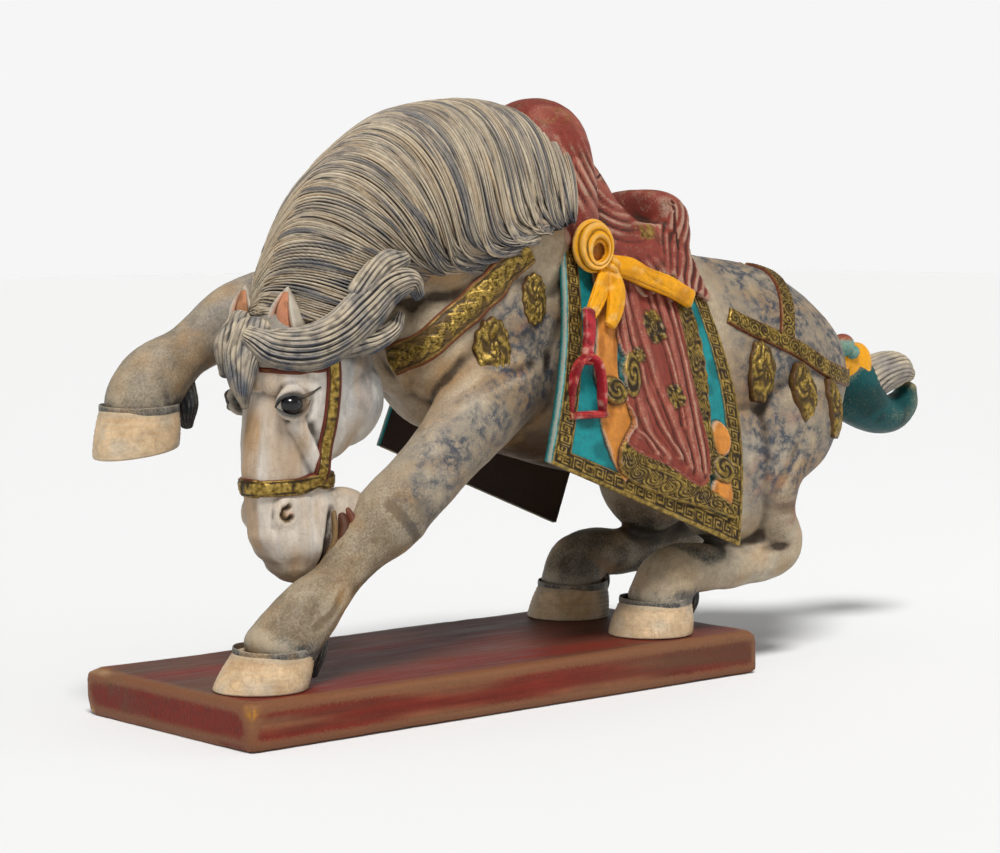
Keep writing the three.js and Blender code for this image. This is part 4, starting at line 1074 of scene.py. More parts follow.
def clothFace(u, v, side, inwards=0.0, lift=0.0):
    corner = lambda key: np.array(cloth[key])
    u, v = u[..., None], v[..., None]
    p = ((corner("topFront") * (1 - u) + corner("topRear") * u) * (1 - v)
         + (corner("lowFront") * (1 - u) + corner("lowRear") * u) * v)
    bulge = np.sin(np.pi * v[..., 0])
    out = p[..., 1] + 16 * bulge - inwards
    p = np.stack([p[..., 0] + 24 * u[..., 0] * bulge, side * out, p[..., 2]], -1)
    outward = np.array([-0.05, 0.97 * side, 0.22])
    return p + outward * np.asarray(lift)[..., None]


def apronForm(side):
    # the drape that runs from the saddle down over the cloth
    share, down = np.meshgrid(np.linspace(0, 1, 60), np.linspace(0, 1, 30), indexing="ij")
    u = 0.10 + 0.90 * share
    low = 0.03 + 0.15 * ease(0.24, 0.30, u) * ease(0.78, 0.70, u) + 0.10 * ease(0.72, 0.84, u) + 0.012 * np.sin(u * 40)
    v = -0.12 + (low + 0.12) * down
    over = clothFace(u, v, side, 0.0, 6.0 - 3.6 * ease(0.0, 0.16, v) * ease(0.8, 0.7, u))
    under = clothFace(u, v, side, 12.0)
    return (*slabForm(over, under), np.zeros(2 * u.size))


saddleForms = [sweepForm(saddle["pommel"], axis=(1, 0, 0)), sweepForm(saddle["seat"], square=2.4),
               ballForm(*saddle["cantle"], 24, 48, square=2.9), apronForm(-1), apronForm(1)]
saddlePiece = voxelSkin("saddle", saddleForms, 3.5)
points, edges = readPoints(saddlePiece), edgesOf(saddlePiece)
points = relax(points, edges, 9)
writePoints(saddlePiece, points)
points, normals = readPoints(saddlePiece), readPoints(saddlePiece, "normal")
x, y, z = points.T
flank = ease(34, 66, np.abs(y))
# folds hang from the pommel in arcs, fall straight down the flank, and gather at the rear corner
ring = np.hypot(x - 268, (z - 652) * 0.92)
ring = ring + 9 * ripple(points, 60, 58) + 5 * np.sin(ring / 19)
arcs = (flank * ease(205, 180, ring) * ease(84, 104, ring) * ease(640, 585, z) * ease(300, 250, x)
        * ease(452, 488, z + 0.12 * x))
straight = flank * ease(520, 480, z + 0.1 * x) * ease(118, 134, x) * ease(330, 300, x)
corner = flank * ease(560, 515, z) * ease(292, 322, x)
folds = np.zeros(len(points))
slant = x + 0.55 * (z - 470)
for share, field, wave in ((arcs, ring, 15.5), (straight, slant + 9 * ripple(points, 70, 59)
                                                + 6 * np.sin(slant / 23), 25.0),
                           (corner, x * 0.86 - 0.42 * (z - 480) + 4 * ripple(points, 40, 60), 12.5)):
    crease = np.abs((field / wave) % 1 * 2 - 1)
    folds = np.where(share > 0.01, folds * (1 - share) + share * (1 - 2 * crease ** 1.6), folds)
fronts = ease(150, 118, x) * ease(60, 84, np.abs(y)) * ease(660, 610, z)
folds = folds * (1 - fronts) + fronts * np.cos((x + 0.25 * z + 4 * ripple(points, 50, 62)) * 0.5)
folds = folds * (0.45 + 0.55 * ease(-0.6, 0.7, ripple(points, 34, 61, 12)))
points = points + normals * (1.45 * folds + 0.7 * ripple(points, 30, 51) + 0.25 * ripple(points, 10, 56))[:, None]
writePoints(saddlePiece, points)
split = pressLines(saddlePiece, [[(178, -88, 560), (200, -84, 574), (226, -66, 586), (238, -40, 590)],
                                 [(340, -72, 556), (334, -76, 520), (338, -80, 486)]], 2.2, 1.6)
points = readPoints(saddlePiece)
cut, rise = ease(-0.1, -0.9, folds), ease(0.45, 1.0, folds)
x, y, z = points.T
paint = flood(points, "red")
paint = tint(paint, "redPale", 0.45 * ease(0.0, 0.9, ripple(points, 26, 52, 14)))
paint = tint(paint, "redDark", 0.6 * ease(0.1, 1.0, ripple(points, 40, 53, 14)))
# paler on the fold crests: painted highlight
paint = tint(paint, "#B28677", 0.5 * rise * ease(-0.2, 0.9, ripple(points, 14, 57, 12)))
# darker in the fold creases: painted shade
paint = tint(paint, "redDark", 0.35 * cut)
paint = tint(paint, "#4A2A1C", 0.5 * ease(0.35, 1.0, ripple(points, 18, 50, 14)))
paint = tint(paint, "#2A1512", np.clip(1.4 * split, 0, 0.9))
rub = (nearSpot(points, (172, -10, 676), (44, 44, 20)) + nearSpot(points, (150, -52, 640), (50, 16, 40))
       + nearSpot(points, (346, -20, 562), (30, 60, 14)))
paint = tint(paint, "gold", 0.55 * np.clip(rub, 0, 1) * ease(0.0, 0.8, ripple(points, 8, 54, 14)))
emblem = ease(0.25, 0.5, nearSpot(points, (283, -84, 510), (30, 34, 18)) * (0.9 + 0.6 * ripple(points, 6, 55, 12)))
dress(saddlePiece, "cloth", paint, gilt=0.8 * emblem, span=(5, 0.7))
print("saddle", len(points), "points")

# Saddle cloths: stiff boards. The near one carries a gold key border, a teal ground, an orange lining and a red
# drape with a scrolled gold hem, all carved in low relief. The far one is laid out the same way, but plainer.

cloth.update({
    "drape": [(0.27, -0.05), (0.28, 0.2), (0.295, 0.4), (0.335, 0.5), (0.33, 0.645), (0.375, 0.71), (0.34, 0.80),
              (0.405, 0.825),
              (0.555, 0.83), (0.74, 0.86), (0.785, 0.83), (0.79, 0.745), (0.74, 0.585), (0.71, 0.44), (0.72, 0.225),
              (0.74, -0.05)],
    "hem": [(0.34, -0.05), (0.36, 0.35), (0.37, 0.55), (0.38, 0.68), (0.36, 0.76), (0.325, 0.83), (0.345, 0.925),
            (0.57, 0.945), (0.785, 0.925), (0.955, 0.915), (0.915, 0.88), (0.80, 0.85), (0.80, 0.80), (0.90, 0.79),
            (0.90, 0.74),
            (0.83, 0.71), (0.80, 0.6), (0.82, 0.36), (0.835, 0.175), (0.83, -0.05)],
    "lining": [(0.18, 0.02), (0.3, 0.02), (0.3, 0.6), (0.40, 0.72), (0.36, 0.84), (0.37, 0.95), (0.31, 0.9),
               (0.235, 0.80),
               (0.21, 0.72), (0.235, 0.67), (0.17, 0.60), (0.185, 0.3)],
    "lobes": [((0.86, 0.655), (0.055, 0.064)), ((0.875, 0.85), (0.058, 0.06))],
    "scrolls": [((0.262, 0.615), (0.062, 0.05)), ((0.352, 0.53), (0.046, 0.085)), ((0.865, 0.765), (0.06, 0.045))],
    "folds": [([(0.315, 0.04), (0.325, 0.35), (0.37, 0.56), (0.45, 0.73), (0.56, 0.80)], 11, 4.2),
              ([(0.36, 0.04), (0.37, 0.32), (0.43, 0.55), (0.52, 0.69), (0.63, 0.78)], 9, 3.6),
              ([(0.43, 0.04), (0.425, 0.25), (0.49, 0.50), (0.58, 0.65), (0.69, 0.80)], 13, 4.0),
              ([(0.60, 0.04), (0.615, 0.3), (0.655, 0.58), (0.735, 0.83)], 12, 4.8),
              ([(0.67, 0.04), (0.675, 0.3), (0.70, 0.56), (0.765, 0.80)], 8, 3.8),
              ([(0.345, 0.68), (0.39, 0.745), (0.45, 0.765), (0.50, 0.80)], 9, 3.2),
              ([(0.54, 0.04), (0.555, 0.24), (0.60, 0.44), (0.65, 0.66)], 8, 2.6)],
    "florets": [((0.52, 0.305), 24), ((0.595, 0.56), 17), ((0.40, 0.44), 12)],
    "border": 23.0, "rim": 3.0,
})


clothWide, clothTall = 285, 350      # laid flat


def clothGrid(fine):
    # closer columns and rows where the key border runs
    def spread(total, edges, step, edgeStep):
        parts = []
        for low, high, near in edges:
            parts.append(np.linspace(low, high, max(2, int((high - low) * total / (edgeStep if near else step))),
                                     endpoint=False))
        return np.append(np.concatenate(parts), 1.0)
    if fine:
        return (spread(clothWide, [(0, 0.11, 1), (0.11, 0.89, 0), (0.89, 1, 1)], 1.8, 1.2),
                spread(clothTall, [(0, 0.91, 0), (0.91, 1, 1)], 1.9, 1.2))
    return (spread(clothWide, [(0, 0.11, 1), (0.11, 0.89, 0), (0.89, 1, 1)], 3.4, 1.5),
            spread(clothTall, [(0, 0.91, 0), (0.91, 1, 1)], 3.4, 1.5))


def makeCloth(side, fine):
    us, vs = clothGrid(fine)
    u, v = np.meshgrid(us, vs, indexing="ij")
    scale = np.array([clothWide, clothTall])
    flat = np.stack([u.ravel(), v.ravel()], 1) * scale

    def region(key):
        curve = smoothLine(np.array(cloth[key] + cloth[key][:1]) * scale, 5)[:-1]
        return insideOf(flat, curve)
    front, rear, low = flat[:, 0], clothWide - flat[:, 0], clothTall - flat[:, 1]
    band = cloth["border"]
    # the key border: front, low and rear strips, inside a plain rim
    strips = []
    for near, run in ((front, flat[:, 1]), (low, flat[:, 0]), (rear, flat[:, 1])):
        w = (near - cloth["rim"] - band / 2) / (band / 2)
        strips.append((np.abs(w) < 1, w, run))
    height = np.zeros(len(flat))
    gilt = np.zeros(len(flat))
    paint = flood(flat, "teal")
    paint = tint(paint, "tealDeep", 0.6 * ease(-0.2, 0.8, ripple(flat, 24, 61)))
    mitre = (low < front) & (low < rear)
    flaky = 0.4 * ripple(flat, 17, 65, 14)
    for index, (inside, w, run) in enumerate(strips):
        mine = inside & (mitre if index == 1 else ~mitre)
        marks = meanderMarks(run, w, band / 2)
        height = np.where(mine, 1.2 + marks, height)
        gilt = np.where(mine, ease(0.2, 0.9, marks / 1.3 + flaky), gilt)
        paint = np.where(mine[:, None], linear("goldDark"), paint)
    rim = ease(3.4, 2.2, np.minimum(np.minimum(front, rear), low))
    height = height + 1.8 * rim
    gilt = np.maximum(gilt, ease(0.2, 0.8, rim + flaky) * rim * (front > 3.4))
    # lining, drape and hem lie over one another
    lining = ease(-1.2, 1.2, region("lining"))
    lobes = np.zeros(len(flat))
    for centre, radii in cloth["lobes"]:
        far = np.sqrt((((flat / scale - centre) / radii) ** 2).sum(1))
        lobes = np.maximum(lobes, ease(1.1, 0.85, far) * (1 - 0.25 * far))
    drape, hem = region("drape"), region("hem")
    hemShare = ease(-1.2, 1.2, hem)
    drapeShare = ease(-1.0, 1.0, drape)
    if not fine:
        lining, lobes = lining * 0, lobes * 0
    tanned = np.maximum(lining, ease(0.1, 0.4, lobes))
    height = height * (1 - tanned) + tanned * (3.2 + 1.4 * np.sin(flat[:, 0] / 7.0 + flat[:, 1] / 30)) + 4.0 * lobes
    paint = tint(paint, "orange", tanned)
    paint = tint(paint, "orangeDark", 0.6 * tanned * ease(0.1, 0.9, ripple(flat * (1.6, 0.5), 22, 62)))
    gilt = gilt * (1 - tanned)
    curlMarks = scrollMarks(flat[:, 0] + flat[:, 1] * 0.8, np.mod(hem + 1, 32) / 16 - 1, 16, 24.0)
    height = height * (1 - hemShare) + hemShare * (6.4 + 1.1 * curlMarks + 1.5 * ease(2.6, 0.6, np.abs(hem)))
    gilt = gilt * (1 - hemShare) + hemShare * ease(0.15, 0.9, curlMarks / 1.3 + flaky)
    paint = tint(paint, "goldDark", hemShare)
    fold = np.zeros(len(flat))
    spots = np.hstack([flat, np.zeros((len(flat), 1))])
    for line, broad, high in cloth["folds"]:
        line = smoothLine(np.array(line) * scale, 8)
        line = np.hstack([line, np.zeros((len(line), 1))])
        fold = np.maximum(fold, nearLine(spots, line, broad) * high)
        fold = fold - 1.6 * nearLine(spots + (broad * 0.62, 0, 0), line, 4.0)
    fold = (fold + 0.8 * ripple(flat * (1.0, 0.3), 12, 66, 12)) * ease(0.0, 0.06, 0.86 - v.ravel())
    redHeight = 6.2 + fold * (1.0 if fine else 0.6)
    height = height * (1 - drapeShare) + drapeShare * redHeight
    edge = ease(3.4, 1.6, np.abs(drape - 1.6)) * (drape > -2)
    height = height + 1.3 * edge * hemShare
    paint = tint(paint, "red", drapeShare)
    streaks = ease(0.1, 0.9, ripple(flat * (2.2, 0.4), 18, 63))
    # pale streaks on the red drape, and paler on the raised folds: pale paint with painted highlight
    paint = tint(paint, "redPale", drapeShare * np.clip(0.28 * streaks + 0.09 * np.clip(fold, 0, 5), 0, 0.8))
    gilt = gilt * (1 - drapeShare)
    for centre, radius in cloth["florets"]:
        off = flat - np.array(centre) * scale
        r, turn = np.hypot(off[:, 0], off[:, 1] * 0.9), np.arctan2(off[:, 1], off[:, 0])
        petals = ease(1.0, 0.88, r / (radius * (0.88 + 0.12 * np.cos(7 * turn) * np.cos(3 * turn + 1))))
        marks = 0.5 + 0.5 * np.cos(7 * turn + 0.1 * r) * ease(0.2, 0.5, r / radius) + 0.5 * ease(0.3, 0.2, r / radius)
        marks = marks * (0.75 + 0.25 * np.sin(r * 1.6))
        height = height + petals * (1.0 + 1.8 * marks)
        gilt = np.maximum(gilt * (1 - petals), petals * ease(0.2, 0.8, marks + flaky))
        paint = tint(paint, "goldDark", petals)
    for centre, radii in cloth["scrolls"]:
        # rolled corners of the gold hem
        off = (flat / scale - centre) / radii
        r, turn = np.hypot(off[:, 0], off[:, 1]), np.arctan2(off[:, 1], off[:, 0])
        knob = ease(1.08, 0.96, r)
        marks = 0.5 + 0.5 * np.sin(r * 11 - 2 * turn)
        height = height * (1 - knob) + knob * (8.2 + 2.2 * np.sqrt(np.clip(1 - 0.8 * r ** 2, 0, 1)) + 1.3 * marks)
        gilt = np.maximum(gilt * (1 - knob), knob * ease(0.2, 0.8, marks + flaky))
        paint = tint(paint, "goldDark", knob)
    height = height + 0.3 * ripple(spots[:, :2], 9, 64)
    edgeDrop = ease(2.0, 0.0, np.minimum(np.minimum(front, rear), low))
    height = height - 2.2 * edgeDrop
    top = clothFace(u, v, side, 0.0, (height - 5.0).reshape(u.shape))
    if not fine:
        gilt = gilt * 0.8
    bottom = clothFace(u, v, side, cloth["thick"])
    points, faces = slabForm(top, bottom)
    backPaint = flood(flat, "bareWood")
    edgeFront = (u.ravel() < 1e-6)
    backPaint = np.where(edgeFront[:, None], linear("teal"), backPaint)
    colours = np.vstack([paint, backPaint])
    colours[:len(flat)][edgeFront] = linear("teal")
    name = "saddle_cloth_near" if side < 0 else "saddle_cloth_far"
    piece = addPiece(name, points, faces)
    hollow = hollowOf(piece, 3, 0.55)
    hollow = np.append(hollow[:len(flat)], np.zeros(len(flat)))
    dress(piece, "cloth", colours, gilt=np.append(np.clip(gilt, 0, 1) * (1 - edgeFront), np.zeros(len(flat))),
          hollow=hollow)
    print(name, len(points), "points")
    return piece


makeCloth(-1, True)
makeCloth(1, False)

# Yellow sash: ring, knot, flat band and two tails

sash = {
    "loop": {"centre": (154, -120, 488), "radius": 19, "wide": 12, "thick": 7.5},
    "band": [(176, -114, 472), (208, -120, 464), (240, -120, 452), (280, -121, 440), (322, -116, 424)],
}
turn = np.linspace(0, 2 * np.pi, 97)[:-1]
tube = np.linspace(0, 2 * np.pi, 28, endpoint=False)
cx, cy, cz = sash["loop"]["centre"]
tilt = np.array([0.94, -0.34, 0.0])
upAxis = np.array([0.0, 0.0, 1.0])
outAxis = np.cross(tilt, upAxis)
ringWide = sash["loop"]["wide"] * (1 - 0.25 * np.cos(turn))
rings = []
for k, a in enumerate(turn):
    way = tilt * np.cos(a) * 0.92 + upAxis * np.sin(a) * 1.12
    centre = np.array([cx, cy, cz]) + way * sash["loop"]["radius"]
    pleat = 1 + 0.16 * np.cos(tube * 6 + 1.2 * np.sin(a + 0.6))
    thick = sash["loop"]["thick"] * (1.22 - 0.62 * np.cos(a + 0.7))     # broad on the left, drawn in at the knot
    rings.append(centre + way * (thick * np.cos(tube) * pleat)[:, None]
                 + outAxis * (ringWide[k] * np.sin(tube) * pleat)[:, None])
sashPieces = [("sash_loop", (np.array(rings).reshape(-1, 3), loopFaces(len(rings), len(tube))))]
knot = ballForm(176, -120, 468, 15, 13, 15, 24, 32)
sashPieces.append(("sash_knot", (knot[0] + unitVectors(knot[0] - (176, -120, 468))
                                 * (1.4 * np.sin(knot[0][:, [2]] * 0.5 + knot[0][:, [0]] * 0.3)), knot[1])))
band = sweepForm([(*p, 7, w) for p, w in zip(sash["band"], (9, 14, 13, 13, 12))], 60, 14, square=3, axis=(0, 1, 0),
                 grooves=6, depth=1.1, tip=0.2)
sashPieces.append(("sash_band", band[:2]))
tailA = sweepForm([(172, -122, 464, 5, 12), (156, -131, 444, 5, 13), (138, -136, 420, 5, 11),
                   (122, -138, 398, 4, 6)], 48, 12, square=2.6, grooves=5, depth=1.0)
tailB = sweepForm([(178, -124, 462, 5, 10), (176, -133, 440, 6, 14), (170, -138, 416, 6, 13),
                   (160, -140, 396, 5, 9)], 48, 12, square=2.6, grooves=5, depth=1.0)
sashPieces += [("sash_tail_front", tailA[:2]), ("sash_tail_rear", tailB[:2])]
# the ribbon's inner side, in shade
sashPieces.append(("sash_lining", ballForm(156, -112, 488, 17, 9, 20, 20, 32)[:2]))
for name, form in sashPieces:
    piece = addPiece(name, *form)
    points = readPoints(piece)
    paint = tint(flood(points, "yellow"), "yellowDark", 0.4 * ease(0.2, 1.0, ripple(points, 16, 71)))
    if name == "sash_lining":
        # the ribbon's inner side painted dark orange-brown: painted shade
        paint = tint(paint, "#7A3E10", 0.8)
    else:
        paint = tint(paint, "#E8C27A", 0.3 * ease(0.3, 1, ripple(points, 9, 74)))
    dress(piece, "bright", paint, span=(4, 0.7))
print("sash")

# Near stirrup: red arch on a strap, standing proud of the cloth

stirrup = {"centre": (105, -158, 311)}
arch = [(-26, -22), (-25, 4), (-21, 26), (-13, 43), (0, 50), (13, 43), (21, 26), (25, 4), (26, -22)]
forms = []
line = [np.array(stirrup["centre"]) + np.array([a * 0.95, a * -0.10 - 0.10 * (b - 20), b]) for a, b in arch]
forms.append(sweepForm([(*p, 8.0, 3.4) for p in line], 24, 8, square=3, tip=0.3))
sole = [np.array(stirrup["centre"]) + np.array([a * 0.95, a * -0.10 + 4.4, -21]) for a in (-29, -10, 10, 29)]
forms.append(sweepForm([(*p, 12, 4.6) for p in sole], 28, 6, square=3.4, tip=0.3))
forms.append(sweepForm([(126, -138, 415, 5, 9), (118, -148, 392, 5, 9), (110, -154, 370, 5, 8),
                        (106, -156, 352, 6, 8)], 28, 8, square=3, tip=0.3))
points, faces, _ = joinForms(forms)
piece = addPiece("stirrup", points, faces)
paint = tint(flood(points, "stirrup"), "#5A1218", 0.7 * ease(-0.1, 0.8, ripple(points, 14, 81)))
paint = tint(paint, "#C79A88", 0.6 * ease(0.4, 1.0, ripple(points, 7, 82, 14)))
dress(piece, "bright", paint, span=(3, 0.6))

# Gilt harness: breast collar, medallions, bridle, crupper and leaf tassels

bodyTrees = [skinTree]
headTrees = [skullTree]


def giltStrap(name, trees, line, halfWidth, thick, relief, edge=0.82, rails="bole", strength=1.0, step=1.6,
              face=None, settle=6, full=1.3,
              ground="goldDark"):
    points, faces, marks, cross = strapForm(trees, line, halfWidth, thick, relief, step, settle=settle, face=face)
    piece = addPiece(name, points, faces)
    share = np.clip(marks / full, 0, 1)
    side = ease(edge, edge + 0.06, np.abs(cross))
    leaf = ease(0.1, 0.7, share + 0.45 * ripple(points, 12, 72) - 0.05)
    paint = tint(flood(points, ground), rails, side)
    dress(piece, "gilt", paint, gilt=leaf * strength * (1 - side), span=(3, 0.5))
    return piece


for side, tag in ((-1, "near"), (1, "far")):
    run = [(60, 100 * side, 489), (46, 103 * side, 478), (11, 106 * side, 452), (-38, 102 * side, 418),
           (-77, 76 * side, 379), (-92, 22 * side, 354)]
    giltStrap("breast_collar_" + tag, bodyTrees, run, 19, 5.0, braidMarks, edge=0.8, settle=12, full=2.9,
              step=1.6 if side < 0 else 2.4,
              rails="#7A4A30", ground="#594527")
    giltStrap("crupper_over_" + tag, bodyTrees, [(548, 4 * side, 452), (534, 66 * side, 440), (508, 110 * side, 400),
                                                 (494, 128 * side, 366)], 12, 4, scrollMarks)
    giltStrap("crupper_long_" + tag, bodyTrees, [(404, 112 * side, 404), (448, 124 * side, 385),
                                                 (499, 128 * side, 362), (576, 126 * side, 326), (640, 88 * side, 310)],
              12, 4, scrollMarks)


def coinForm(trees, centre, outward, rx, rz, dome, lobes, leaf=False):
    outward = unitVectors(np.array(outward, float))
    right = unitVectors(np.cross((0, 0, 1.0), outward))
    upward = np.cross(outward, right)
    rows, sides = 22, 76
    r = np.linspace(0.04, 1, rows)[:, None]
    angle = np.linspace(0, 2 * np.pi, sides, endpoint=False)[None]
    rimShape = 1 + 0.045 * np.cos(lobes * angle)
    if leaf:
        rimShape = rimShape * (1 - 0.16 * np.sin(angle)) * (1 + 0.05 * np.cos(3 * angle))
    spots = (np.array(centre) + right * (r * rimShape * rx * np.cos(angle))[..., None]
             + upward * (r * rimShape * rz * np.sin(angle))[..., None])
    base, _ = dropOn(trees, spots.reshape(-1, 3), -outward, 40)
    lift = ((base.reshape(spots.shape) - spots) * outward).sum(-1)
    lift = np.clip(lift, np.median(lift) - 8, np.median(lift) + 8)
    lift = lift * 0.5 + np.median(lift) * 0.5
    # a beaded rim, a ring of petals and a bud; on a leaf, curling fronds
    beads = (0.35 + 0.65 * np.cos(lobes * 1.0 * angle) ** 2) * ease(0.78, 0.84, r) * ease(1.0, 0.92, r)
    bend = 0.9 * np.cos(2 * angle + 0.7) + 0.5 * np.cos(5 * angle - 3 * r)
    fronds = 0.5 + 0.5 * np.sin(9 * r + bend + 6 * angle)
    bud = (0.6 + 0.4 * np.cos(4 * angle + 11 * r)) * ease(0.30, 0.22, r)
    marks = np.maximum(np.maximum(beads * 0.8, fronds * ease(0.28, 0.36, r) * ease(0.86, 0.78, r)), bud)
    if leaf:
        veins = 0.5 + 0.5 * np.sin(12 * r + 3 * np.cos(3 * angle) + 4 * angle)
        marks = np.maximum(veins * ease(0.14, 0.24, r) * ease(0.90, 0.78, r), 0.5 * beads)
    high = dome * np.sqrt(np.clip(1 - 0.75 * r ** 2, 0, 1)) + 2.4 * marks
    top = spots + outward * (lift + high)[..., None]
    skirt = spots[-1:] + outward * (lift[-1:] - 4)[..., None]
    points, faces = closeForm(np.concatenate([top, skirt]), top[0].mean(0) + outward * 0.3, skirt[0].mean(0)
                              - outward * 2)
    return points, faces, np.append(np.append(marks.ravel(), np.zeros(sides)), [1, 0])


coins = [("medallion_front_near", (2, -106, 371), (-0.25, -1, 0), 23, 37, 9, 12, False),
         ("medallion_rear_near", (70, -106, 428), (-0.1, -1, 0), 19, 31, 8, 12, False),
         ("medallion_front_far", (2, 106, 371), (-0.25, 1, 0), 21, 36, 9, 12, False),
         ("medallion_rear_far", (70, 106, 428), (-0.1, 1, 0), 18, 31, 8, 12, False)]
for side, tag in ((-1, "near"), (1, "far")):
    for index, (px, py, pz) in enumerate(((449, 120, 334), (514, 126, 304), (574, 120, 280))):
        coins.append(("tassel_%d_%s" % (index + 1, tag), (px, side * (py + 4), pz), (0.25 * index - 0.1, side, 0.1),
                      21, 40, 8, 9, True))
for name, centre, outward, rx, rz, dome, lobes, leaf in coins:
    points, faces, marks = coinForm(bodyTrees, centre, outward, rx, rz, dome, lobes, leaf)
    piece = addPiece(name, points, faces)
    leafShare = ease(0.1, 0.7, np.clip(marks, 0, 1) + 0.4 * ripple(points, 11, 73, 12))
    dress(piece, "gilt", linear("#4C3B1E"), gilt=leafShare, span=(3, 0.5))


def bridleMarks(s, w, halfWidth):
    return 1.4 * ease(0.62, 0.5, np.abs(w)) * (0.75 + 0.25 * np.sin(s * 0.55)) + 0.8 * ease(0.78, 0.86, np.abs(w))


for side, middle, tag in ((-1, -40, "near"), (1, -38, "far")):
    line = [(-236 if side < 0 else -212, middle + side * 66, 376), (-233, middle + side * 62, 330),
            (-236, middle + side * 54, 280),
            (-240, middle + side * 44, 244), (-240, middle + side * 40, 226)]
    giltStrap("cheek_strap_" + tag, headTrees, line, 9, 4, bridleMarks, edge=0.7, step=1.1, face=(-0.45, side, 0.1))
    brow = [(-307, -40 + side * 18, 356), (-292, middle + side * 46, 354), (-264, middle + side * 60, 353),
            (-236, middle + side * 62, 356)]
    giltStrap("brow_band_" + tag, headTrees, brow, 3.0, 2.6, None, edge=0.1, step=1.1, settle=12)
turn = np.linspace(0, 2 * np.pi, 25)[:-1]
loop = [(-258 - (60 if np.cos(a) > 0 else 46) * np.cos(a), -45 + 44 * np.sin(a), 224 - 3 * np.cos(a)) for a in turn]
noseLine = loop + loop[:2]
giltStrap("noseband", headTrees, noseLine, 9.5, 4.2, bridleMarks, edge=0.84, step=1.3, settle=70)
giltStrap("noseband_plate", headTrees, [(-312, -60, 221), (-314, -46, 221), (-313, -32, 221)], 10.5, 6.2,
          bridleMarks, edge=0.9, step=1.2)
print("gilt harness")

# Tail: dock bound with a yellow ribbon, hair tied up in a teal bag that hooks upwards

tail = {
    "dock": [(620, 0, 312, 44, 34), (684, 0, 318, 36, 32), (728, -2, 322, 32, 32), (760, -2, 312, 33, 42)],
    "bag": [(744, -2, 310, 34, 40), (764, -2, 284, 38, 46), (798, -2, 256, 37, 32), (838, -2, 247, 34, 26),
            (870, -2, 262, 26, 20), (884, -2, 284, 14, 12)],
    "tuft": [(776, -2, 290, 34, 34), (814, -2, 304, 34, 30), (852, -2, 310, 30, 26), (882, -2, 302, 14, 12)],
}
dock = voxelSkin("tail_ribbon", [sweepForm(tail["dock"])], 3.2)
points, edges = readPoints(dock), edgesOf(dock)
points = relax(points, edges, 4)
writePoints(dock, points)
normals = readPoints(dock, "normal")
wrap = ripple(points, 20, 91)
for shift in (0, 18, 40):
    line = [(700 + shift, -36, 300), (712 + shift, -20, 345), (722 + shift, 10, 352), (716 + shift, 34, 318)]
    points = points - normals * (2.2 * nearLine(points, smoothLine(line, 6), 6))[:, None]
writePoints(dock, points)
paint = tint(flood(points, "yellow"), "yellowDark", 0.5 * ease(0.2, 0.9, wrap))
paint = tint(paint, "coat", ease(700, 684, points[:, 0]))
dress(dock, "bright", paint, span=(5, 0.8))
bag = voxelSkin("tail_bag", [sweepForm(tail["bag"])], 3.2)
points, edges = readPoints(bag), edgesOf(bag)
points = relax(points, edges, 6)
writePoints(bag, points)
paint = tint(flood(points, "#06484A"), "#04302F", 0.85 * ease(-0.5, 0.6, ripple(points, 40, 92)))
paint = tint(paint, "#0A2A2C", 0.6 * ease(0.2, 1.0, ripple(points, 16, 94, 12)))
dress(bag, "bright", paint, span=(8, 1.2))
points, faces, cut = sweepForm(tail["tuft"], 24 * 6, 14, grooves=24, depth=2.4, twist=0.5)
piece = addPiece("tail_tuft", points, faces)
paint = tint(flood(points, "maneRidge"), "maneBlue", 0.5 * ease(-0.4, 0.6, ripple(points, 30, 93)))
dress(piece, "mane", tint(paint, "maneGroove", cut * 0.85), hollow=np.clip(cut * 0.8 - 0.35, -1, 1))
knotForms = [ballForm(712, -28, 350, 18, 16, 16, 20, 28), ballForm(700, -10, 358, 20, 14, 9, 18, 24),
             ballForm(728, -30, 340, 12, 12, 10, 18, 24)]
points, faces, _ = joinForms(knotForms)
piece = addPiece("tail_knot", points, faces)
dress(piece, "bright", tint(flood(points, "teal"), "red", ease(354, 360, points[:, 2])), span=(3, 0.6))
print("tail")

# Plinth: one plank with rounded edges, dark red paint rubbed along the grain, chips and end checks

plinth = {"length": 800, "width": 326, "thick": 54.4, "edge": 3.0, "voxel": 6.2}
bpy.ops.object.select_all(action="DESELECT")
bpy.ops.mesh.primitive_cube_add(size=1, location=(0, 0, plinth["thick"] / 2000),
                                scale=(plinth["length"] / 1000, plinth["width"] / 1000, plinth["thick"] / 1000))
board = bpy.context.active_object
board.name = "plank"
bpy.ops.object.transform_apply(location=True, rotation=True, scale=True)
bevel = board.modifiers.new("edge", "BEVEL")
bevel.width = plinth["edge"] / 1000
bevel.segments = 3
bpy.ops.object.modifier_apply(modifier="edge")
remesh = board.modifiers.new("skin", "REMESH")
remesh.mode = "VOXEL"
remesh.voxel_size = plinth["voxel"] / 1000
bpy.ops.object.modifier_apply(modifier="skin")
board.data.shade_smooth()
points, normals = readPoints(board), readPoints(board, "normal")
z = points[:, 2] + soleLevel
long, wide = plinth["length"] / 2, plinth["width"] / 2
dent = 0.35 * ripple(points * (0.4, 1, 1), 30, 101)
corners = np.sort(np.stack([long - np.abs(points[:, 0]), wide - np.abs(points[:, 1]),
                            np.minimum(plinth["thick"] - z, z)], 1), 1)
onEdge = ease(9, 0, corners[:, 1]) * ease(9, 0, corners[:, 0])
dent = dent + 1.1 * onEdge * ease(0.1, 1.0, ripple(points, 24, 102))
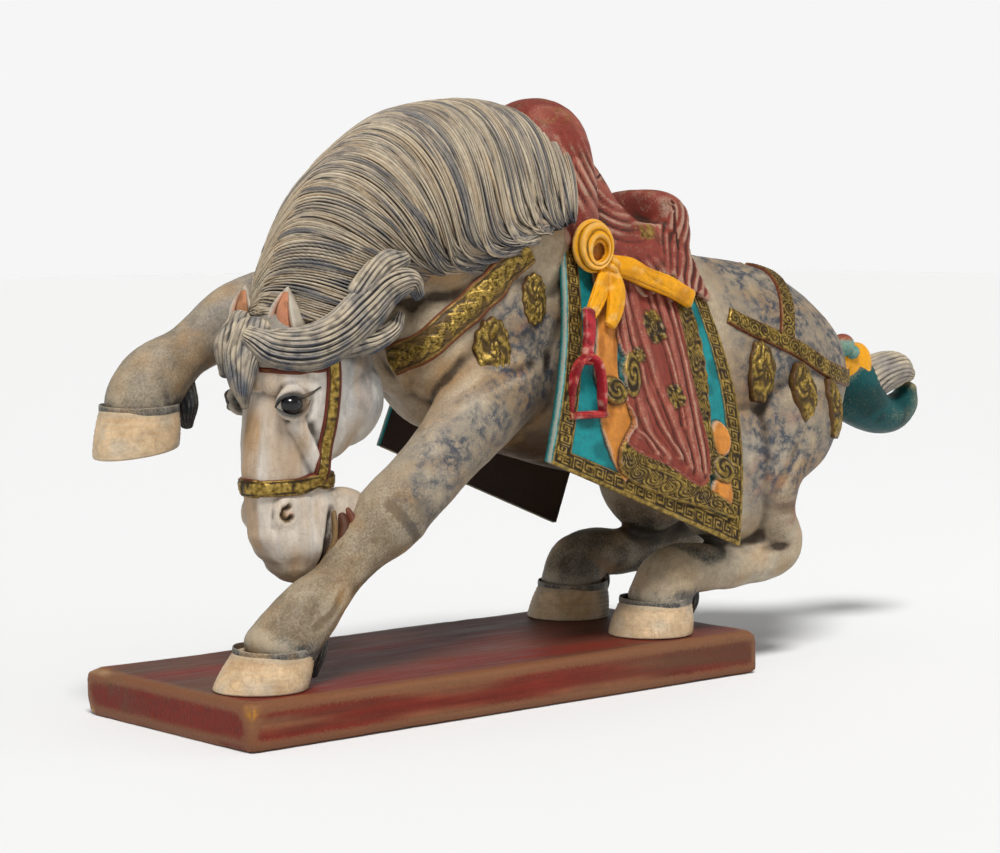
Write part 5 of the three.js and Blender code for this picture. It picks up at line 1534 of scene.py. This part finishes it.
for spot, radii, depth in (((-398, -160, -8), (14, 12, 16), 4.0), ((-396, 150, -2), (12, 60, 8), 3.0),
                           ((-330, -163, -2), (30, 8, 6), 1.2),
                           ((-399, 158, -50), (8, 12, 14), 3.0), ((-399, -150, -52), (10, 60, 6), 1.6),
                           ((398, -160, -4), (10, 8, 8), 2.0)):
    dent = dent + depth * nearSpot(points, spot, radii) ** 0.5
points = points - normals * dent[:, None]
low, high = (-long, -wide, -soleLevel), (long, wide, plinth["thick"] - soleLevel)
points = np.clip(points, low, high)
writePoints(board, points)
paint = flood(points, "plinthRed")
grainField = ripple(points * (0.12, 1.0, 1.0), 14, 103)
sideFace = ease(4, 1, wide - np.abs(points[:, 1]))
topFace = ease(plinth["thick"] - 3, plinth["thick"] - 1, z)
paint = tint(paint, "plinthWear", np.clip(sideFace * 0.75 * ease(-0.2, 0.6, grainField), 0, 1))
# the back of the top painted brown in patches: painted shadow of the horse
paint = tint(paint, "plinthBrown", topFace * np.clip(0.55 + 0.5 * ripple(points * (0.2, 1, 1), 60, 104), 0, 0.9)
             * ease(-140, -60, points[:, 1]))
chips = (nearSpot(points, (-398, -160, -8), (16, 14, 18)) + 0.8 * nearSpot(points, (-396, 150, -2), (14, 62, 9))
         + nearSpot(points, (-399, 158, -50), (9, 14, 16)))
paint = tint(paint, "ochre", ease(0.15, 0.4, chips))
paint = tint(paint, "#CDBA98", 0.8 * ease(0.3, 0.6, nearSpot(points, (-396, 150, -2), (14, 60, 9))
                                          * (1 + 0.5 * ripple(points, 9, 105))))
dress(board, "plinth", paint, span=(6, 0.9))
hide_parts("plinth")
print("plinth", len(points), "points")

# Floor, light and camera

bpy.ops.mesh.primitive_plane_add(size=40, location=(0, 0, -0.0005))
floor = bpy.context.active_object
floor.name = "floor"
stage = bpy.data.materials.new("matt_studio_paper")   # matt paper: an even, pale ground
stage.use_nodes = True
paper = stage.node_tree.nodes["Principled BSDF"]
paper.inputs["Base Color"].default_value = (0.80, 0.80, 0.795, 1)
paper.inputs["Roughness"].default_value = 0.9
floor.data.materials.append(stage)

world = bpy.data.worlds.new("studio")
bpy.context.scene.world = world
world.use_nodes = True
sky = world.node_tree.nodes["Background"]
sky.inputs["Color"].default_value = (1.0, 1.0, 1.0, 1)
# pale walls all round at the floor's brightness, with a dimmer ceiling
heading = addNode(world.node_tree, "ShaderNodeTexCoord").outputs["Generated"]
height = addNode(world.node_tree, "ShaderNodeSeparateXYZ", None, {0: heading}).outputs["Z"]
wall = addNode(world.node_tree, "ShaderNodeMapRange", {"From Min": 0.10, "From Max": 0.34, "To Min": 0.92,
                                                       "To Max": 0.28}, {"Value": height})
world.node_tree.links.new(wall.outputs["Result"], sky.inputs["Strength"])

lights = {"key": ("SUN", (-0.85, -1.25, 2.9), 3.1, 0.30), "side": ("AREA", (2.4, -1.6, 1.6), 6, 1.2)}
for name, (kind, place, power, size) in lights.items():
    bpy.ops.object.light_add(type=kind, location=place)
    lamp = bpy.context.active_object
    lamp.name = name + "_light"
    lamp.data.energy = power
    if kind == "SUN":
        lamp.data.angle = size
    else:
        lamp.data.size = size
    lamp.rotation_euler = (Vector((0.05, 0, 0.3)) - Vector(place)).to_track_quat("-Z", "Y").to_euler()

bpy.ops.object.camera_add(location=cameraSettings["eye"])
camera = bpy.context.active_object
aim = Vector(cameraSettings["target"]) - Vector(cameraSettings["eye"])
camera.rotation_euler = aim.to_track_quat("-Z", "Y").to_euler()
camera.data.lens = cameraSettings["lens"]
camera.data.sensor_width = 36
bpy.context.scene.camera = camera
bpy.context.scene.view_settings.view_transform = "Standard"
print("stage, light and camera")
